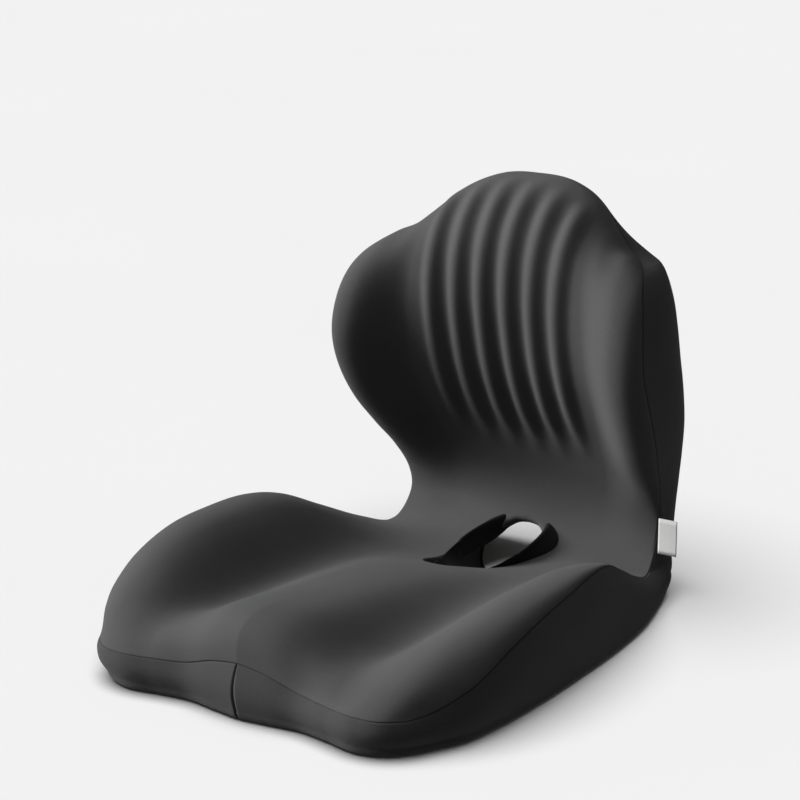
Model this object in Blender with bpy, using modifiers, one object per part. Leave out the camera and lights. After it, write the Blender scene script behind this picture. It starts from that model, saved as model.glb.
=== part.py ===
"""Seat cushion with a built-in back: a moulded foam body in a sewn knit cover.

Frame: metres, +Z up, the sitter faces -Y, the origin is under the middle of the base.
The cushion is symmetric about x = 0. One closed skin is lofted from hand-set sections, and
the foam and every cover panel are cut from it, so neighbours fit each other.
"""
from math import atan2, cos, pi, radians, sin, tan

import bmesh
import bpy
import numpy as np
from mathutils import Matrix, Vector

# Driving dimensions
COVER_THICKNESS = 0.0020
SEAM_GAP = 0.0003
LINING_GAP = 0.0012
FOAM_DEPTH = 0.0028
BASE_ROUNDING = 0.010
WALL_BULGE = 0.005
REAR_SQUARENESS = 3.4
CORE_HALF_WIDTH = 0.090
TROUGH_X = 0.095
TROUGH_WIDTH = 0.045

# The waist flexes about a line along X inside the foam
HINGE_Y = 0.243
HINGE_Z = 0.080
HINGE_CLEARANCE = radians(11.0)

# The zip runs up the straight middle of the rear face
ZIP_FOOT_Z = 0.120
ZIP_LENGTH = 0.205
ZIP_GROOVE_HALF_WIDTH = 0.0085
ZIP_GROOVE_DEPTH = 0.0040
TAPE_WIDTH = 0.0060
TAPE_THICKNESS = 0.0008
TAPE_Y = -0.0026
TEETH_WIDTH = 0.0020
TEETH_THICKNESS = 0.0016
TEETH_Y = -0.0018
SLIDER_SIZE = (0.0080, 0.0034, 0.0110)
SLIDER_TOP = 0.0015
BAIL_THICKNESS = 0.0012
BAIL_HEIGHT = 0.0033
BAIL_REACH = (-0.0036, 0.0021)
BAIL_FOOT = 0.0003
BAIL_FLOOR = 0.0002
PULLER_SIZE = (0.0060, 0.0012, 0.0240)
PULLER_GAP = 0.0003
PULLER_EYE = (0.0028, 0.0044)
PULLER_BAR_SIDES = 24
SLIDER_BELOW_TOP = 0.018
STOP_LENGTH = 0.0035
STOP_INSET = 0.006

# Blank loop label, half inside the right seam at the waist
LABEL_SIZE = (0.018, 0.0016, 0.036)
LABEL_CENTRE = (0.1610, 0.207, 0.063)

# Mesh density of the skin
HALF_COLUMNS = 8
WALL_LEVELS = 5

# Numbers of the cover panels on the skin
FACE, RIGHT, LEFT, BASE = range(4)

# Sections from the front edge, over the seat, down to the waist and up to the top edge:
# middle y and z | edge seam x, y and z | wing height, thigh trough depth, wing roll radius
SECTIONS = [
    (-0.269, 0.053, 0.168, -0.256, 0.036, 0.000, 0.000, 0.024),
    (-0.267, 0.074, 0.179, -0.238, 0.039, 0.004, 0.007, 0.023),
    (-0.254, 0.088, 0.191, -0.219, 0.048, 0.009, 0.016, 0.025),
    (-0.226, 0.093, 0.200, -0.197, 0.058, 0.013, 0.024, 0.027),
    (-0.178, 0.088, 0.206, -0.160, 0.075, 0.015, 0.029, 0.029),
    (-0.118, 0.082, 0.208, -0.110, 0.089, 0.015, 0.028, 0.031),
    (-0.058, 0.075, 0.205, -0.057, 0.095, 0.013, 0.024, 0.031),
    (-0.005, 0.066, 0.199, -0.010, 0.097, 0.010, 0.019, 0.031),
    (0.045, 0.053, 0.190, 0.035, 0.090, 0.006, 0.012, 0.031),
    (0.095, 0.039, 0.178, 0.085, 0.069, 0.002, 0.006, 0.031),
    (0.145, 0.033, 0.163, 0.140, 0.044, 0.000, 0.000, 0.029),
    (0.187, 0.040, 0.152, 0.184, 0.031, 0.000, 0.000, 0.027),
    (0.211, 0.062, 0.147, 0.210, 0.055, 0.002, 0.000, 0.025),
    (0.217, 0.092, 0.149, 0.211, 0.082, 0.005, 0.000, 0.023),
    (0.209, 0.120, 0.157, 0.194, 0.115, 0.010, 0.000, 0.021),
    (0.194, 0.148, 0.166, 0.171, 0.146, 0.016, 0.000, 0.020),
    (0.172, 0.183, 0.174, 0.148, 0.180, 0.021, 0.000, 0.020),
    (0.154, 0.222, 0.177, 0.129, 0.215, 0.024, 0.000, 0.020),
    (0.143, 0.262, 0.176, 0.119, 0.246, 0.025, 0.000, 0.020),
    (0.138, 0.300, 0.173, 0.121, 0.275, 0.023, 0.000, 0.020),
    (0.141, 0.338, 0.168, 0.129, 0.299, 0.018, 0.000, 0.020),
    (0.154, 0.369, 0.161, 0.140, 0.316, 0.010, 0.000, 0.020),
    (0.179, 0.396, 0.153, 0.155, 0.327, 0.004, 0.000, 0.020),
    (0.209, 0.407, 0.147, 0.166, 0.332, 0.001, 0.000, 0.019),
    (0.232, 0.402, 0.141, 0.176, 0.335, 0.000, 0.000, 0.018),
]
WAIST = 11 / (len(SECTIONS) - 1)

# Front and top seams from the middle to the edge: share of the half width | x, y, z
FRONT_SEAM = [
    (0.00, 0.000, -0.269, 0.053),
    (0.18, 0.030, -0.267, 0.048),
    (0.35, 0.060, -0.265, 0.039),
    (0.56, 0.095, -0.271, 0.037),
    (0.76, 0.129, -0.276, 0.037),
    (0.90, 0.152, -0.270, 0.036),
    (1.00, 0.168, -0.256, 0.036),
]
TOP_SEAM = [
    (0.00, 0.000, 0.232, 0.402),
    (0.28, 0.041, 0.230, 0.398),
    (0.50, 0.073, 0.221, 0.383),
    (0.66, 0.096, 0.210, 0.362),
    (0.77, 0.111, 0.203, 0.348),
    (0.88, 0.126, 0.193, 0.341),
    (1.00, 0.141, 0.176, 0.335),
]
# Flat edge of the base from the front middle, round the right side, to the rear middle:
# position along the edge (1 at the waist, 2 at the rear middle) | x, y
BASE_EDGE = [
    (0.00, 0.000, -0.262),
    (0.06, 0.030, -0.258),
    (0.12, 0.061, -0.254),
    (0.18, 0.093, -0.258),
    (0.25, 0.126, -0.263),
    (0.29, 0.144, -0.257),
    (0.33, 0.158, -0.243),
    (0.38, 0.170, -0.221),
    (0.43, 0.181, -0.198),
    (0.50, 0.187, -0.160),
    (0.60, 0.190, -0.100),
    (0.71, 0.189, -0.030),
    (0.82, 0.185, 0.050),
    (0.92, 0.176, 0.120),
    (1.00, 0.162, 0.173),
    (1.25, 0.141, 0.213),
    (1.50, 0.103, 0.243),
    (1.75, 0.054, 0.260),
    (2.00, 0.000, 0.265),
]
# Rear line of the middle plane: height | y
REAR_LINE = [
    (0.000, 0.268),
    (0.030, 0.279),
    (0.070, 0.279),
    (0.110, 0.275),
    (0.120, 0.2736),
    (0.330, 0.2442),
    (0.340, 0.2428),
    (0.404, 0.232),
]
# Tunnel from the seat to the rear of the base, as slanting oval rings in the middle plane:
# lower end y and z | upper end y and z | half width
TUNNEL_RINGS = [
    (0.062, 0.036, 0.226, 0.052, 0.0350),
    (0.100, 0.028, 0.240, 0.056, 0.0390),
    (0.163, 0.000, 0.268, 0.055, 0.0620),
    (0.320, -0.060, 0.320, 0.053, 0.1100),
]
TUNNEL_SIDES = 20

COLOURS = {
    "foam": (0.80, 0.74, 0.52, 1.0),
    "knit": (0.085, 0.085, 0.088, 1.0),
    "gusset": (0.030, 0.030, 0.032, 1.0),
    "lining": (0.012, 0.012, 0.013, 1.0),
    "base": (0.020, 0.020, 0.022, 1.0),
    "tape": (0.025, 0.025, 0.027, 1.0),
    "teeth": (0.040, 0.040, 0.042, 1.0),
    "metal": (0.150, 0.150, 0.155, 1.0),
    "label": (0.60, 0.60, 0.60, 1.0),
}


def smooth_curve(keys, values):
    """Return a function that passes smoothly through the values at the keys."""
    keys = np.array(keys, float)
    values = np.array(values, float)
    step = np.diff(keys)
    slope = np.diff(values, axis=0) / step[:, None]
    tangent = np.empty_like(values)
    weight = (step[1:] + step[:-1])[:, None]
    tangent[1:-1] = (slope[:-1] * step[1:, None] + slope[1:] * step[:-1, None]) / weight
    tangent[0] = 1.5 * slope[0] - 0.5 * tangent[1]
    tangent[-1] = 1.5 * slope[-1] - 0.5 * tangent[-2]

    def curve(at):
        at = np.clip(np.asarray(at, float), keys[0], keys[-1])
        i = np.clip(np.searchsorted(keys, at, side="right") - 1, 0, len(keys) - 2)
        width = step[i][..., None]
        f = ((at - keys[i]) / step[i])[..., None]
        start = (1 + 2 * f) * (1 - f) ** 2 * values[i] + f * (1 - f) ** 2 * width * tangent[i]
        end = f * f * (3 - 2 * f) * values[i + 1] + f * f * (f - 1) * width * tangent[i + 1]
        return start + end

    return curve


def curve_of(table):
    """Return the curve through a table whose first column is the key."""
    table = np.array(table, float)
    return smooth_curve(table[:, 0], table[:, 1:])


def ease(low, high, at):
    """Rise smoothly from 0 at low to 1 at high."""
    f = np.clip((np.asarray(at, float) - low) / (high - low), 0.0, 1.0)
    return f * f * (3 - 2 * f)


section_at = smooth_curve(np.linspace(0.0, 1.0, len(SECTIONS)), SECTIONS)
front_seam_at = curve_of(FRONT_SEAM)
top_seam_at = curve_of(TOP_SEAM)
base_edge_at = curve_of(BASE_EDGE)
rear_line_at = curve_of(REAR_LINE)


def section_plan(across, along):
    """Return a section's values, its x, its share of the half width, and its plain shape."""
    values = section_at(along)
    mid_y, mid_z, edge_x, edge_y, edge_z, _, _, roll = np.moveaxis(values, -1, 0)
    a = np.abs(across)
    crest_x = edge_x - roll
    core_x = np.minimum(CORE_HALF_WIDTH, 0.6 * crest_x)
    turn = np.clip((a - 0.75) / 0.25, 0.0, 1.0) * pi / 2
    flank = core_x + (crest_x - core_x) * (a - 0.5) / 0.25
    x = np.where(a < 0.5, core_x * a / 0.5, np.where(a < 0.75, flank, crest_x + roll * np.sin(turn)))
    share = x / edge_x
    y = mid_y + (edge_y - mid_y) * share ** 2
    z = mid_z + (edge_z - mid_z) * share ** 2
    wing_rise = ease(1.1 * core_x, crest_x, x) * np.cos(turn)
    return values, share, wing_rise, np.stack([x, y, z], -1)


def face_point(across, along):
    """Point of the face: across is -1 to 1 over the width, along is 0 (front) to 1 (top)."""
    across, along = np.broadcast_arrays(np.asarray(across, float), np.asarray(along, float))
    values, share, wing_rise, point = section_plan(across, along)
    x = point[..., 0]
    trough = np.exp(-((x - TROUGH_X) / TROUGH_WIDTH) ** 2) * (1 - ease(0.75, 0.98, share))
    height = values[..., 5] * wing_rise - values[..., 6] * trough
    step = 1e-3
    change = section_at(along + step) - section_at(along - step)
    middle = change[..., 0:2] / np.linalg.norm(change[..., 0:2], axis=-1, keepdims=True)
    edge = change[..., 3:5] / np.linalg.norm(change[..., 3:5], axis=-1, keepdims=True)
    run = (1 - share)[..., None] * middle + share[..., None] * edge
    run /= np.linalg.norm(run, axis=-1, keepdims=True)
    point = point + height[..., None] * np.stack([0 * x, -run[..., 1], run[..., 0]], -1)
    last = len(SECTIONS) - 1
    at_front = 1 - ease(0.0, 4 / last, along)
    at_top = ease(1 - 7 / last, 1.0, along)
    _, front_share, _, front = section_plan(across, np.zeros_like(along))
    _, top_share, _, top = section_plan(across, np.ones_like(along))
    point = point + at_front[..., None] * (front_seam_at(front_share) - front)
    point = point + at_top[..., None] * (top_seam_at(top_share) - top)
    point[..., 0] *= np.sign(across)
    return point


def rear_slice(along, angle):
    """Rear cross-section from the seam (angle 0) round to the middle (angle pi / 2)."""
    _, _, edge_x, edge_y, edge_z = section_at(along)[:5]
    rear_y = rear_line_at(edge_z)[0]
    power = 2 / REAR_SQUARENESS
    x = edge_x * np.cos(angle) ** power + WALL_BULGE * np.sin(2 * angle)
    y = edge_y + (rear_y - edge_y) * np.sin(angle) ** power
    return np.stack([x, y, edge_z + 0 * angle], -1)


def wall_column(upper, lower, outward):
    """Wall from the upper point down to the flat edge of the base, round its rounded foot."""
    foot = lower + outward * BASE_ROUNDING + np.array([0, 0, BASE_ROUNDING])
    column = []
    straight = WALL_LEVELS - 2
    for i in range(straight + 1):
        f = i / straight
        column.append(upper + (foot - upper) * f + outward * WALL_BULGE * sin(pi * f))
    corner = sin(pi / 4) * BASE_ROUNDING
    column.append(lower + outward * corner + np.array([0, 0, BASE_ROUNDING - corner]))
    column.append(lower)
    return column


def skin_mesh():
    """Build the closed skin. Each face carries the number of its cover panel."""
    bm = bmesh.new()
    panel = bm.faces.layers.int.new("panel")

    def patch(grid, number, flip=False):
        rows = [[bm.verts.new(point) for point in row] for row in grid]
        for low, high in zip(rows[:-1], rows[1:]):
            for i in range(len(low) - 1):
                corners = [low[i], low[i + 1], high[i + 1], high[i]]
                face = bm.faces.new(corners[::-1] if flip else corners)
                face[panel] = number

    across = np.linspace(-1, 1, 2 * HALF_COLUMNS + 1)
    along = np.linspace(0, 1, len(SECTIONS))
    patch(face_point(across[None, :], along[:, None]), FACE)

    half = np.linspace(0, 1, HALF_COLUMNS + 1)
    sides = along[along <= WAIST + 1e-9]
    rises = along[along >= WAIST - 1e-9]
    front = face_point(half, 0.0)
    side = face_point(1.0, sides)[1:]
    angles = half * pi / 2
    rear = rear_slice(WAIST, angles)[1:]
    upper = np.concatenate([front, side, rear])
    place = np.concatenate([
        0.33 * front[:, 0] / front[-1, 0],
        0.33 + 0.67 * np.linspace(0, 1, len(side) + 1)[1:],
        1.0 + half[1:],
    ])
    edge = base_edge_at(place)
    tangent = base_edge_at(place + 0.01) - base_edge_at(place - 0.01)
    outward = np.stack([tangent[:, 1], -tangent[:, 0], 0 * place], -1)
    outward /= np.linalg.norm(outward, axis=1, keepdims=True)
    lower = np.column_stack([edge, 0 * place])
    outward[0] = (0, -1, 0)
    outward[-1] = (0, 1, 0)
    wall = np.array([wall_column(*trio) for trio in zip(upper, lower, outward)])

    slices = [rear_slice(t, angles) for t in rises]
    top = face_point(1 - half, 1.0)
    crown = slices[-1]
    for f in (1 / 3, 2 / 3, 1.0):
        row = crown + (top - crown) * np.array([f, f * f, f])
        slices.append(row)
    slices = np.array(slices)
    for mirror, number in ((1, RIGHT), (-1, LEFT)):
        flip = np.array([mirror, 1, 1])
        patch(wall * flip, number, flip=mirror < 0)
        patch(slices * flip, number, flip=mirror > 0)
    ring = np.concatenate([lower, (lower * np.array([-1, 1, 1]))[-2:0:-1]])
    base = bm.faces.new([bm.verts.new(point) for point in ring[::-1]])
    base[panel] = BASE
    bmesh.ops.remove_doubles(bm, verts=bm.verts, dist=1e-5)
    bmesh.ops.dissolve_degenerate(bm, dist=1e-6, edges=bm.edges)
    bmesh.ops.triangulate(bm, faces=bm.faces)
    bmesh.ops.recalc_face_normals(bm, faces=bm.faces)
    return bm


def material(name):
    """Return the material of that name, made on first use."""
    found = bpy.data.materials.get(name)
    if found:
        return found
    made = bpy.data.materials.new(name)
    made.use_nodes = True
    shader = made.node_tree.nodes["Principled BSDF"]
    shader.inputs["Base Color"].default_value = COLOURS[name]
    shader.inputs["Roughness"].default_value = 0.35 if name == "metal" else 0.9
    shader.inputs["Metallic"].default_value = 1.0 if name == "metal" else 0.0
    return made


def add_object(name, bm, look, collection):
    """Turn a bmesh into a named object with its material."""
    mesh = bpy.data.meshes.new(name)
    bm.to_mesh(mesh)
    bm.free()
    mesh.materials.append(material(look))
    made = bpy.data.objects.new(name, mesh)
    collection.objects.link(made)
    return made


def add_cutter(name, bm):
    """Turn a bmesh into a hidden cutting tool."""
    made = add_object(name, bm, "foam", cutters)
    made.hide_render = True
    made.display_type = "WIRE"
    return made


def boolean(target, tool, operation="DIFFERENCE"):
    """Cut the target with the tool, or join them."""
    modifier = target.modifiers.new(tool.name, "BOOLEAN")
    modifier.operation = operation
    modifier.object = tool
    modifier.solver = "EXACT"


def inner_points(bm, depth):
    """Point under each vertex of the skin, at an even depth."""
    return {v: v.co - v.normal * depth * v.calc_shell_factor() for v in bm.verts}


def foam_block(skin, name, tools):
    """The foam: the skin drawn in by the depth of the cover."""
    bm = skin.copy()
    bm.normal_update()
    for vert, point in inner_points(bm, FOAM_DEPTH).items():
        vert.co = point
    foam = add_object(name, bm, "foam", parts)
    for tool in tools:
        boolean(foam, tool)
    return foam


def cover_panel(skin, number, name, look, tools):
    """One cover panel: its faces of the skin, thickened inwards, short of its seams."""
    skin.normal_update()
    panel = skin.faces.layers.int["panel"]
    under = inner_points(skin, COVER_THICKNESS)
    faces = [f for f in skin.faces if f[panel] == number]
    own = set(faces)
    bm = bmesh.new()
    outer = {}
    inner = {}
    for vert in {v for f in faces for v in f.verts}:
        rim = any(f not in own for f in vert.link_faces)
        shift = Vector()
        if rim:
            for face in vert.link_faces:
                if face in own:
                    shift += (face.calc_center_median() - vert.co).normalized()
            shift = shift.normalized() * SEAM_GAP
        outer[vert] = bm.verts.new(vert.co + shift)
        inner[vert] = bm.verts.new(under[vert] + shift)
    for face in faces:
        bm.faces.new([outer[v] for v in face.verts])
        bm.faces.new([inner[v] for v in reversed(face.verts)])
        for loop in face.loops:
            if loop.link_loop_radial_next.face not in own:
                a, b = loop.vert, loop.link_loop_next.vert
                bm.faces.new([outer[b], outer[a], inner[a], inner[b]])
    made = add_object(name, bm, look, parts)
    for tool in tools:
        boolean(made, tool)
    return made


def tunnel_block(name, inset):
    """Solid with the shape of the tunnel, drawn in by the inset."""
    bm = bmesh.new()
    rings = []
    turns = [2 * pi * i / TUNNEL_SIDES for i in range(TUNNEL_SIDES)]
    for low_y, low_z, high_y, high_z, half_width in TUNNEL_RINGS:
        roof_z = high_z - inset
        middle = Vector((0, (low_y + high_y) / 2, (low_z + roof_z) / 2))
        reach = Vector((0, (high_y - low_y) / 2, (roof_z - low_z) / 2))
        reach -= reach.normalized() * inset
        side = Vector((half_width - inset, 0, 0))
        rings.append([bm.verts.new(middle + reach * cos(a) + side * sin(a)) for a in turns])
    for low, high in zip(rings[:-1], rings[1:]):
        for i in range(TUNNEL_SIDES):
            j = (i + 1) % TUNNEL_SIDES
            bm.faces.new([low[i], low[j], high[j], high[i]])
    bm.faces.new(rings[0][::-1])
    bm.faces.new(rings[-1])
    bmesh.ops.triangulate(bm, faces=bm.faces, quad_method="FIXED")
    bmesh.ops.recalc_face_normals(bm, faces=bm.faces)
    return add_cutter(name, bm)


def profile_block(name, outline, half_width=0.35):
    """Solid with the given outline in the middle plane, extruded across the cushion."""
    bm = bmesh.new()
    near = [bm.verts.new((-half_width, y, z)) for y, z in outline]
    face = bm.faces.new(near)
    sweep = bmesh.ops.extrude_face_region(bm, geom=[face])
    moved = [v for v in sweep["geom"] if isinstance(v, bmesh.types.BMVert)]
    bmesh.ops.translate(bm, verts=moved, vec=(2 * half_width, 0, 0))
    bmesh.ops.recalc_face_normals(bm, faces=bm.faces)
    return add_cutter(name, bm)


def box(name, size, centre, look, collection, parent=None, bevel=0.0):
    """Box of a full size about a centre, with rounded edges if asked."""
    bm = bmesh.new()
    bmesh.ops.create_cube(bm, size=1.0)
    bmesh.ops.scale(bm, verts=bm.verts, vec=size)
    made = add_object(name, bm, look, collection)
    made.location = centre
    made.parent = parent
    if bevel:
        modifier = made.modifiers.new("rounding", "BEVEL")
        modifier.width = bevel
        modifier.segments = 2
    return made


def cutting_box(name, size, centre, parent=None):
    """Hidden box used only to cut or join."""
    made = box(name, size, centre, "metal", cutters, parent)
    made.hide_render = True
    made.display_type = "WIRE"
    return made


def hinge_cutters():
    """Wedges that part the seat from the back about the hinge line, with room to flex."""
    slope = tan(HINGE_CLEARANCE)
    above = profile_block("above_hinge", [
        (HINGE_Y, HINGE_Z), (0.160, HINGE_Z), (0.050, 0.130), (-0.150, 0.200),
        (-0.150, 0.600), (0.450, 0.600), (0.450, HINGE_Z),
    ])
    gap = HINGE_Z + SEAM_GAP
    below = profile_block("below_hinge", [
        (HINGE_Y, gap), (0.160, gap + (HINGE_Y - 0.160) * slope), (0.050, 0.150),
        (-0.400, 0.250), (-0.400, -0.100), (0.450, -0.100), (0.450, gap + (0.450 - HINGE_Y) * slope),
    ])
    return above, below


def add_cover_and_foam():
    """The foam, the cover panels and the tunnel's lining."""
    skin = skin_mesh()
    above, below = hinge_cutters()
    tunnel = tunnel_block("tunnel_opening", 0.0)
    foam_block(skin, "seat_foam", [tunnel, above])
    cover_panel(skin, FACE, "seat_face_cover", "knit", [tunnel, above])
    cover_panel(skin, RIGHT, "right_side_gusset", "gusset", [tunnel, above])
    cover_panel(skin, LEFT, "left_side_gusset", "gusset", [tunnel, above])
    cover_panel(skin, BASE, "base_panel", "base", [tunnel])
    foam_block(skin, "back_foam", [below, zip_groove])
    cover_panel(skin, FACE, "back_face_cover", "knit", [below])
    cover_panel(skin, RIGHT, "right_rear_panel", "gusset", [below, zip_groove])
    cover_panel(skin, LEFT, "left_rear_panel", "gusset", [below, zip_groove])
    whole = add_cutter("whole_skin", skin.copy())
    lining_core = tunnel_block("tunnel_core", LINING_GAP + COVER_THICKNESS)
    lining = tunnel_block("tunnel_lining", LINING_GAP)
    cutters.objects.unlink(lining)
    parts.objects.link(lining)
    lining.hide_render = False
    lining.display_type = "TEXTURED"
    lining.data.materials.clear()
    lining.data.materials.append(material("lining"))
    boolean(lining, whole, "INTERSECT")
    boolean(lining, lining_core)
    skin.free()


def add_slider(slider_z):
    """Slider saddled over the chain, with the bail that holds the puller."""
    _, depth, length = SLIDER_SIZE
    top = SLIDER_TOP
    slider = box("zip_slider", SLIDER_SIZE, (0, top - depth / 2, slider_z), "metal", parts, zip_line)
    channel_size = (2 * TEETH_WIDTH + 0.0008, depth, 2 * length)
    channel_y = top - 0.0020 - depth / 2
    boolean(slider, cutting_box("slider_channel", channel_size, (0, channel_y, slider_z), zip_line))
    low, high = BAIL_REACH
    bail_size = (BAIL_THICKNESS, BAIL_HEIGHT, high - low)
    bail_at = (0, top - BAIL_FOOT + BAIL_HEIGHT / 2, slider_z + (low + high) / 2)
    boolean(slider, cutting_box("slider_bail", bail_size, bail_at, zip_line), "UNION")
    eye_height = BAIL_HEIGHT - BAIL_FOOT - BAIL_FLOOR - 0.0009
    eye_size = (0.01, eye_height, high - low - 2 * BAIL_THICKNESS)
    eye_at = (0, top + BAIL_FLOOR + eye_height / 2, bail_at[2])
    boolean(slider, cutting_box("bail_eye", eye_size, eye_at, zip_line))


def add_puller(slider_z):
    """Puller hanging from its round top bar, which turns inside the bail."""
    width, thickness, length = PULLER_SIZE
    radius = thickness / 2
    pivot = bpy.data.objects.new("puller_pivot", None)
    parts.objects.link(pivot)
    pivot.parent = zip_line
    pivot.location = (0, SLIDER_TOP + PULLER_GAP + radius, slider_z)
    hang = length - radius
    puller = box("zip_puller", (width, thickness, hang), (0, 0, -hang / 2), "metal", parts, pivot)
    eye_width, eye_length = PULLER_EYE
    eye_at = (0, 0, -eye_length / 2)
    eye = cutting_box("puller_eye", (eye_width, 0.01, eye_length + 2 * radius), eye_at, pivot)
    boolean(puller, eye)
    bm = bmesh.new()
    bmesh.ops.create_cone(
        bm, cap_ends=True, segments=PULLER_BAR_SIDES, radius1=radius, radius2=radius, depth=width)
    bmesh.ops.rotate(bm, verts=bm.verts, matrix=Matrix.Rotation(pi / 2, 3, "Y"))
    bar = add_cutter("puller_bar", bm)
    bar.parent = pivot
    boolean(puller, bar, "UNION")


def add_zip():
    """Tapes, teeth and stops of the zip, its slider on the chain, and the hanging puller."""
    tape_x = TEETH_WIDTH + SEAM_GAP + TAPE_WIDTH / 2
    teeth_x = (TEETH_WIDTH + SEAM_GAP) / 2
    middle_z = ZIP_LENGTH / 2
    for side, name in ((1, "right"), (-1, "left")):
        size = (TAPE_WIDTH - SEAM_GAP, TAPE_THICKNESS, ZIP_LENGTH - 0.002)
        box(name + "_zip_tape", size, (side * tape_x, TAPE_Y, middle_z), "tape", parts, zip_line)
        size = (TEETH_WIDTH - SEAM_GAP, TEETH_THICKNESS, ZIP_LENGTH - 0.024)
        box(name + "_zip_teeth", size, (side * teeth_x, TEETH_Y, middle_z), "teeth", parts, zip_line)
    for name, z in (("zip_bottom_stop", STOP_INSET), ("zip_top_stop", ZIP_LENGTH - STOP_INSET)):
        size = (2 * TEETH_WIDTH, TEETH_THICKNESS, STOP_LENGTH)
        box(name, size, (0, TEETH_Y, z), "metal", parts, zip_line, 0.0003)
    slider_z = ZIP_LENGTH - SLIDER_BELOW_TOP
    add_slider(slider_z)
    add_puller(slider_z)


def add_label():
    """Small blank loop label in the right seam at the waist."""
    box("side_label", LABEL_SIZE, LABEL_CENTRE, "label", parts, None, 0.0005)


for old in list(bpy.data.objects):
    bpy.data.objects.remove(old, do_unlink=True)
parts = bpy.data.collections.new("seat_cushion")
cutters = bpy.data.collections.new("cutters")
bpy.context.scene.collection.children.link(parts)
bpy.context.scene.collection.children.link(cutters)

zip_line = bpy.data.objects.new("zip_line", None)
parts.objects.link(zip_line)
zip_top_z = ZIP_FOOT_Z + ZIP_LENGTH
lean = atan2(rear_line_at(ZIP_FOOT_Z)[0] - rear_line_at(zip_top_z)[0], ZIP_LENGTH)
zip_line.location = (0, rear_line_at(ZIP_FOOT_Z)[0], ZIP_FOOT_Z)
zip_line.rotation_euler = (lean, 0, 0)
groove_size = (2 * ZIP_GROOVE_HALF_WIDTH, 2 * ZIP_GROOVE_DEPTH, ZIP_LENGTH)
zip_groove = cutting_box("zip_groove", groove_size, (0, 0, ZIP_LENGTH / 2), zip_line)

add_cover_and_foam()
add_zip()
add_label()
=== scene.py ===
"""Seat cushion with a built-in back: sewn knit cover panels over a moulded foam body."""
from math import atan2, cos, pi, radians, sin

import bmesh
import bpy
import numpy as np
from mathutils import Matrix, Vector
from mathutils.bvhtree import BVHTree
from mathutils.kdtree import KDTree


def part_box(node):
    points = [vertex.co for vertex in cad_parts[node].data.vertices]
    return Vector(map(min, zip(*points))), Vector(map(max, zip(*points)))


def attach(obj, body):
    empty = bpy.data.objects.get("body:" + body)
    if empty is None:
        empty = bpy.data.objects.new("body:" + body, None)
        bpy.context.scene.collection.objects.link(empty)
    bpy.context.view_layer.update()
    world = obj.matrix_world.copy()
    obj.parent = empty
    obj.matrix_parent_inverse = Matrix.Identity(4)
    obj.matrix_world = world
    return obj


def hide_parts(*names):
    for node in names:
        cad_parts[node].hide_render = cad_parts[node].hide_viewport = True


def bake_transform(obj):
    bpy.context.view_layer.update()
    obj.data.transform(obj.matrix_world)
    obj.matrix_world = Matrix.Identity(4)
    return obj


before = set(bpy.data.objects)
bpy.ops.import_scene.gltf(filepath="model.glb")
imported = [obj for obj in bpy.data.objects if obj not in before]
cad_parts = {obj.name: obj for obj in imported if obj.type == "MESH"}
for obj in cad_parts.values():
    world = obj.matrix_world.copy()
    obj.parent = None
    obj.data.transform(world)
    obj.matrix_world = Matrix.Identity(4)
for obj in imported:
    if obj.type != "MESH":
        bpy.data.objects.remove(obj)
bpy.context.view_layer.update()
scene = bpy.context.scene

# ---------------------------------------------------------------- camera

CAMERA_AIM = Vector((-0.0142, -0.0019, 0.2233))
CAMERA_AZIMUTH = radians(34.5)
CAMERA_ELEVATION = radians(15.5)
CAMERA_DISTANCE = 2.1375
CAMERA_LENS = 103.5


def add_camera():
    """Camera at the shop view: from the front right, a little above."""
    away = Vector((
        sin(CAMERA_AZIMUTH) * cos(CAMERA_ELEVATION),
        -cos(CAMERA_AZIMUTH) * cos(CAMERA_ELEVATION),
        sin(CAMERA_ELEVATION),
    ))
    camera = bpy.data.objects.new("camera", bpy.data.cameras.new("camera"))
    camera.data.lens = CAMERA_LENS
    camera.data.sensor_width = 36.0
    camera.data.clip_end = 50.0
    camera.location = CAMERA_AIM + away * CAMERA_DISTANCE
    camera.rotation_mode = "QUATERNION"
    camera.rotation_quaternion = (-away).to_track_quat("-Z", "Y")
    scene.collection.objects.link(camera)
    scene.camera = camera


# ---------------------------------------------------------------- sizes, in metres

COVER_THICKNESS = 0.0020
FOAM_DEPTH = 0.0032
LINING_THICKNESS = 0.0014
BASE_ROUNDING = 0.010
WALL_BULGE = 0.005
REAR_SQUARENESS = 3.4
CORE_HALF_WIDTH = 0.090
TROUGH_X = 0.095
TROUGH_WIDTH = 0.045
SEAM_REACH = 0.0016
SEAM_DEPTH = 0.0016
BINDING_RADIUS = 0.0016
RIB_PITCH = 0.0285
RIB_HEIGHT = 0.0065
RIB_EDGE = (0.083, 0.0865)
RIB_FOOT = (13.7, 16.5)
RIB_FOOT_RISE = 0.5
RIB_HEAD = (21.2, 22.8)

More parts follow.
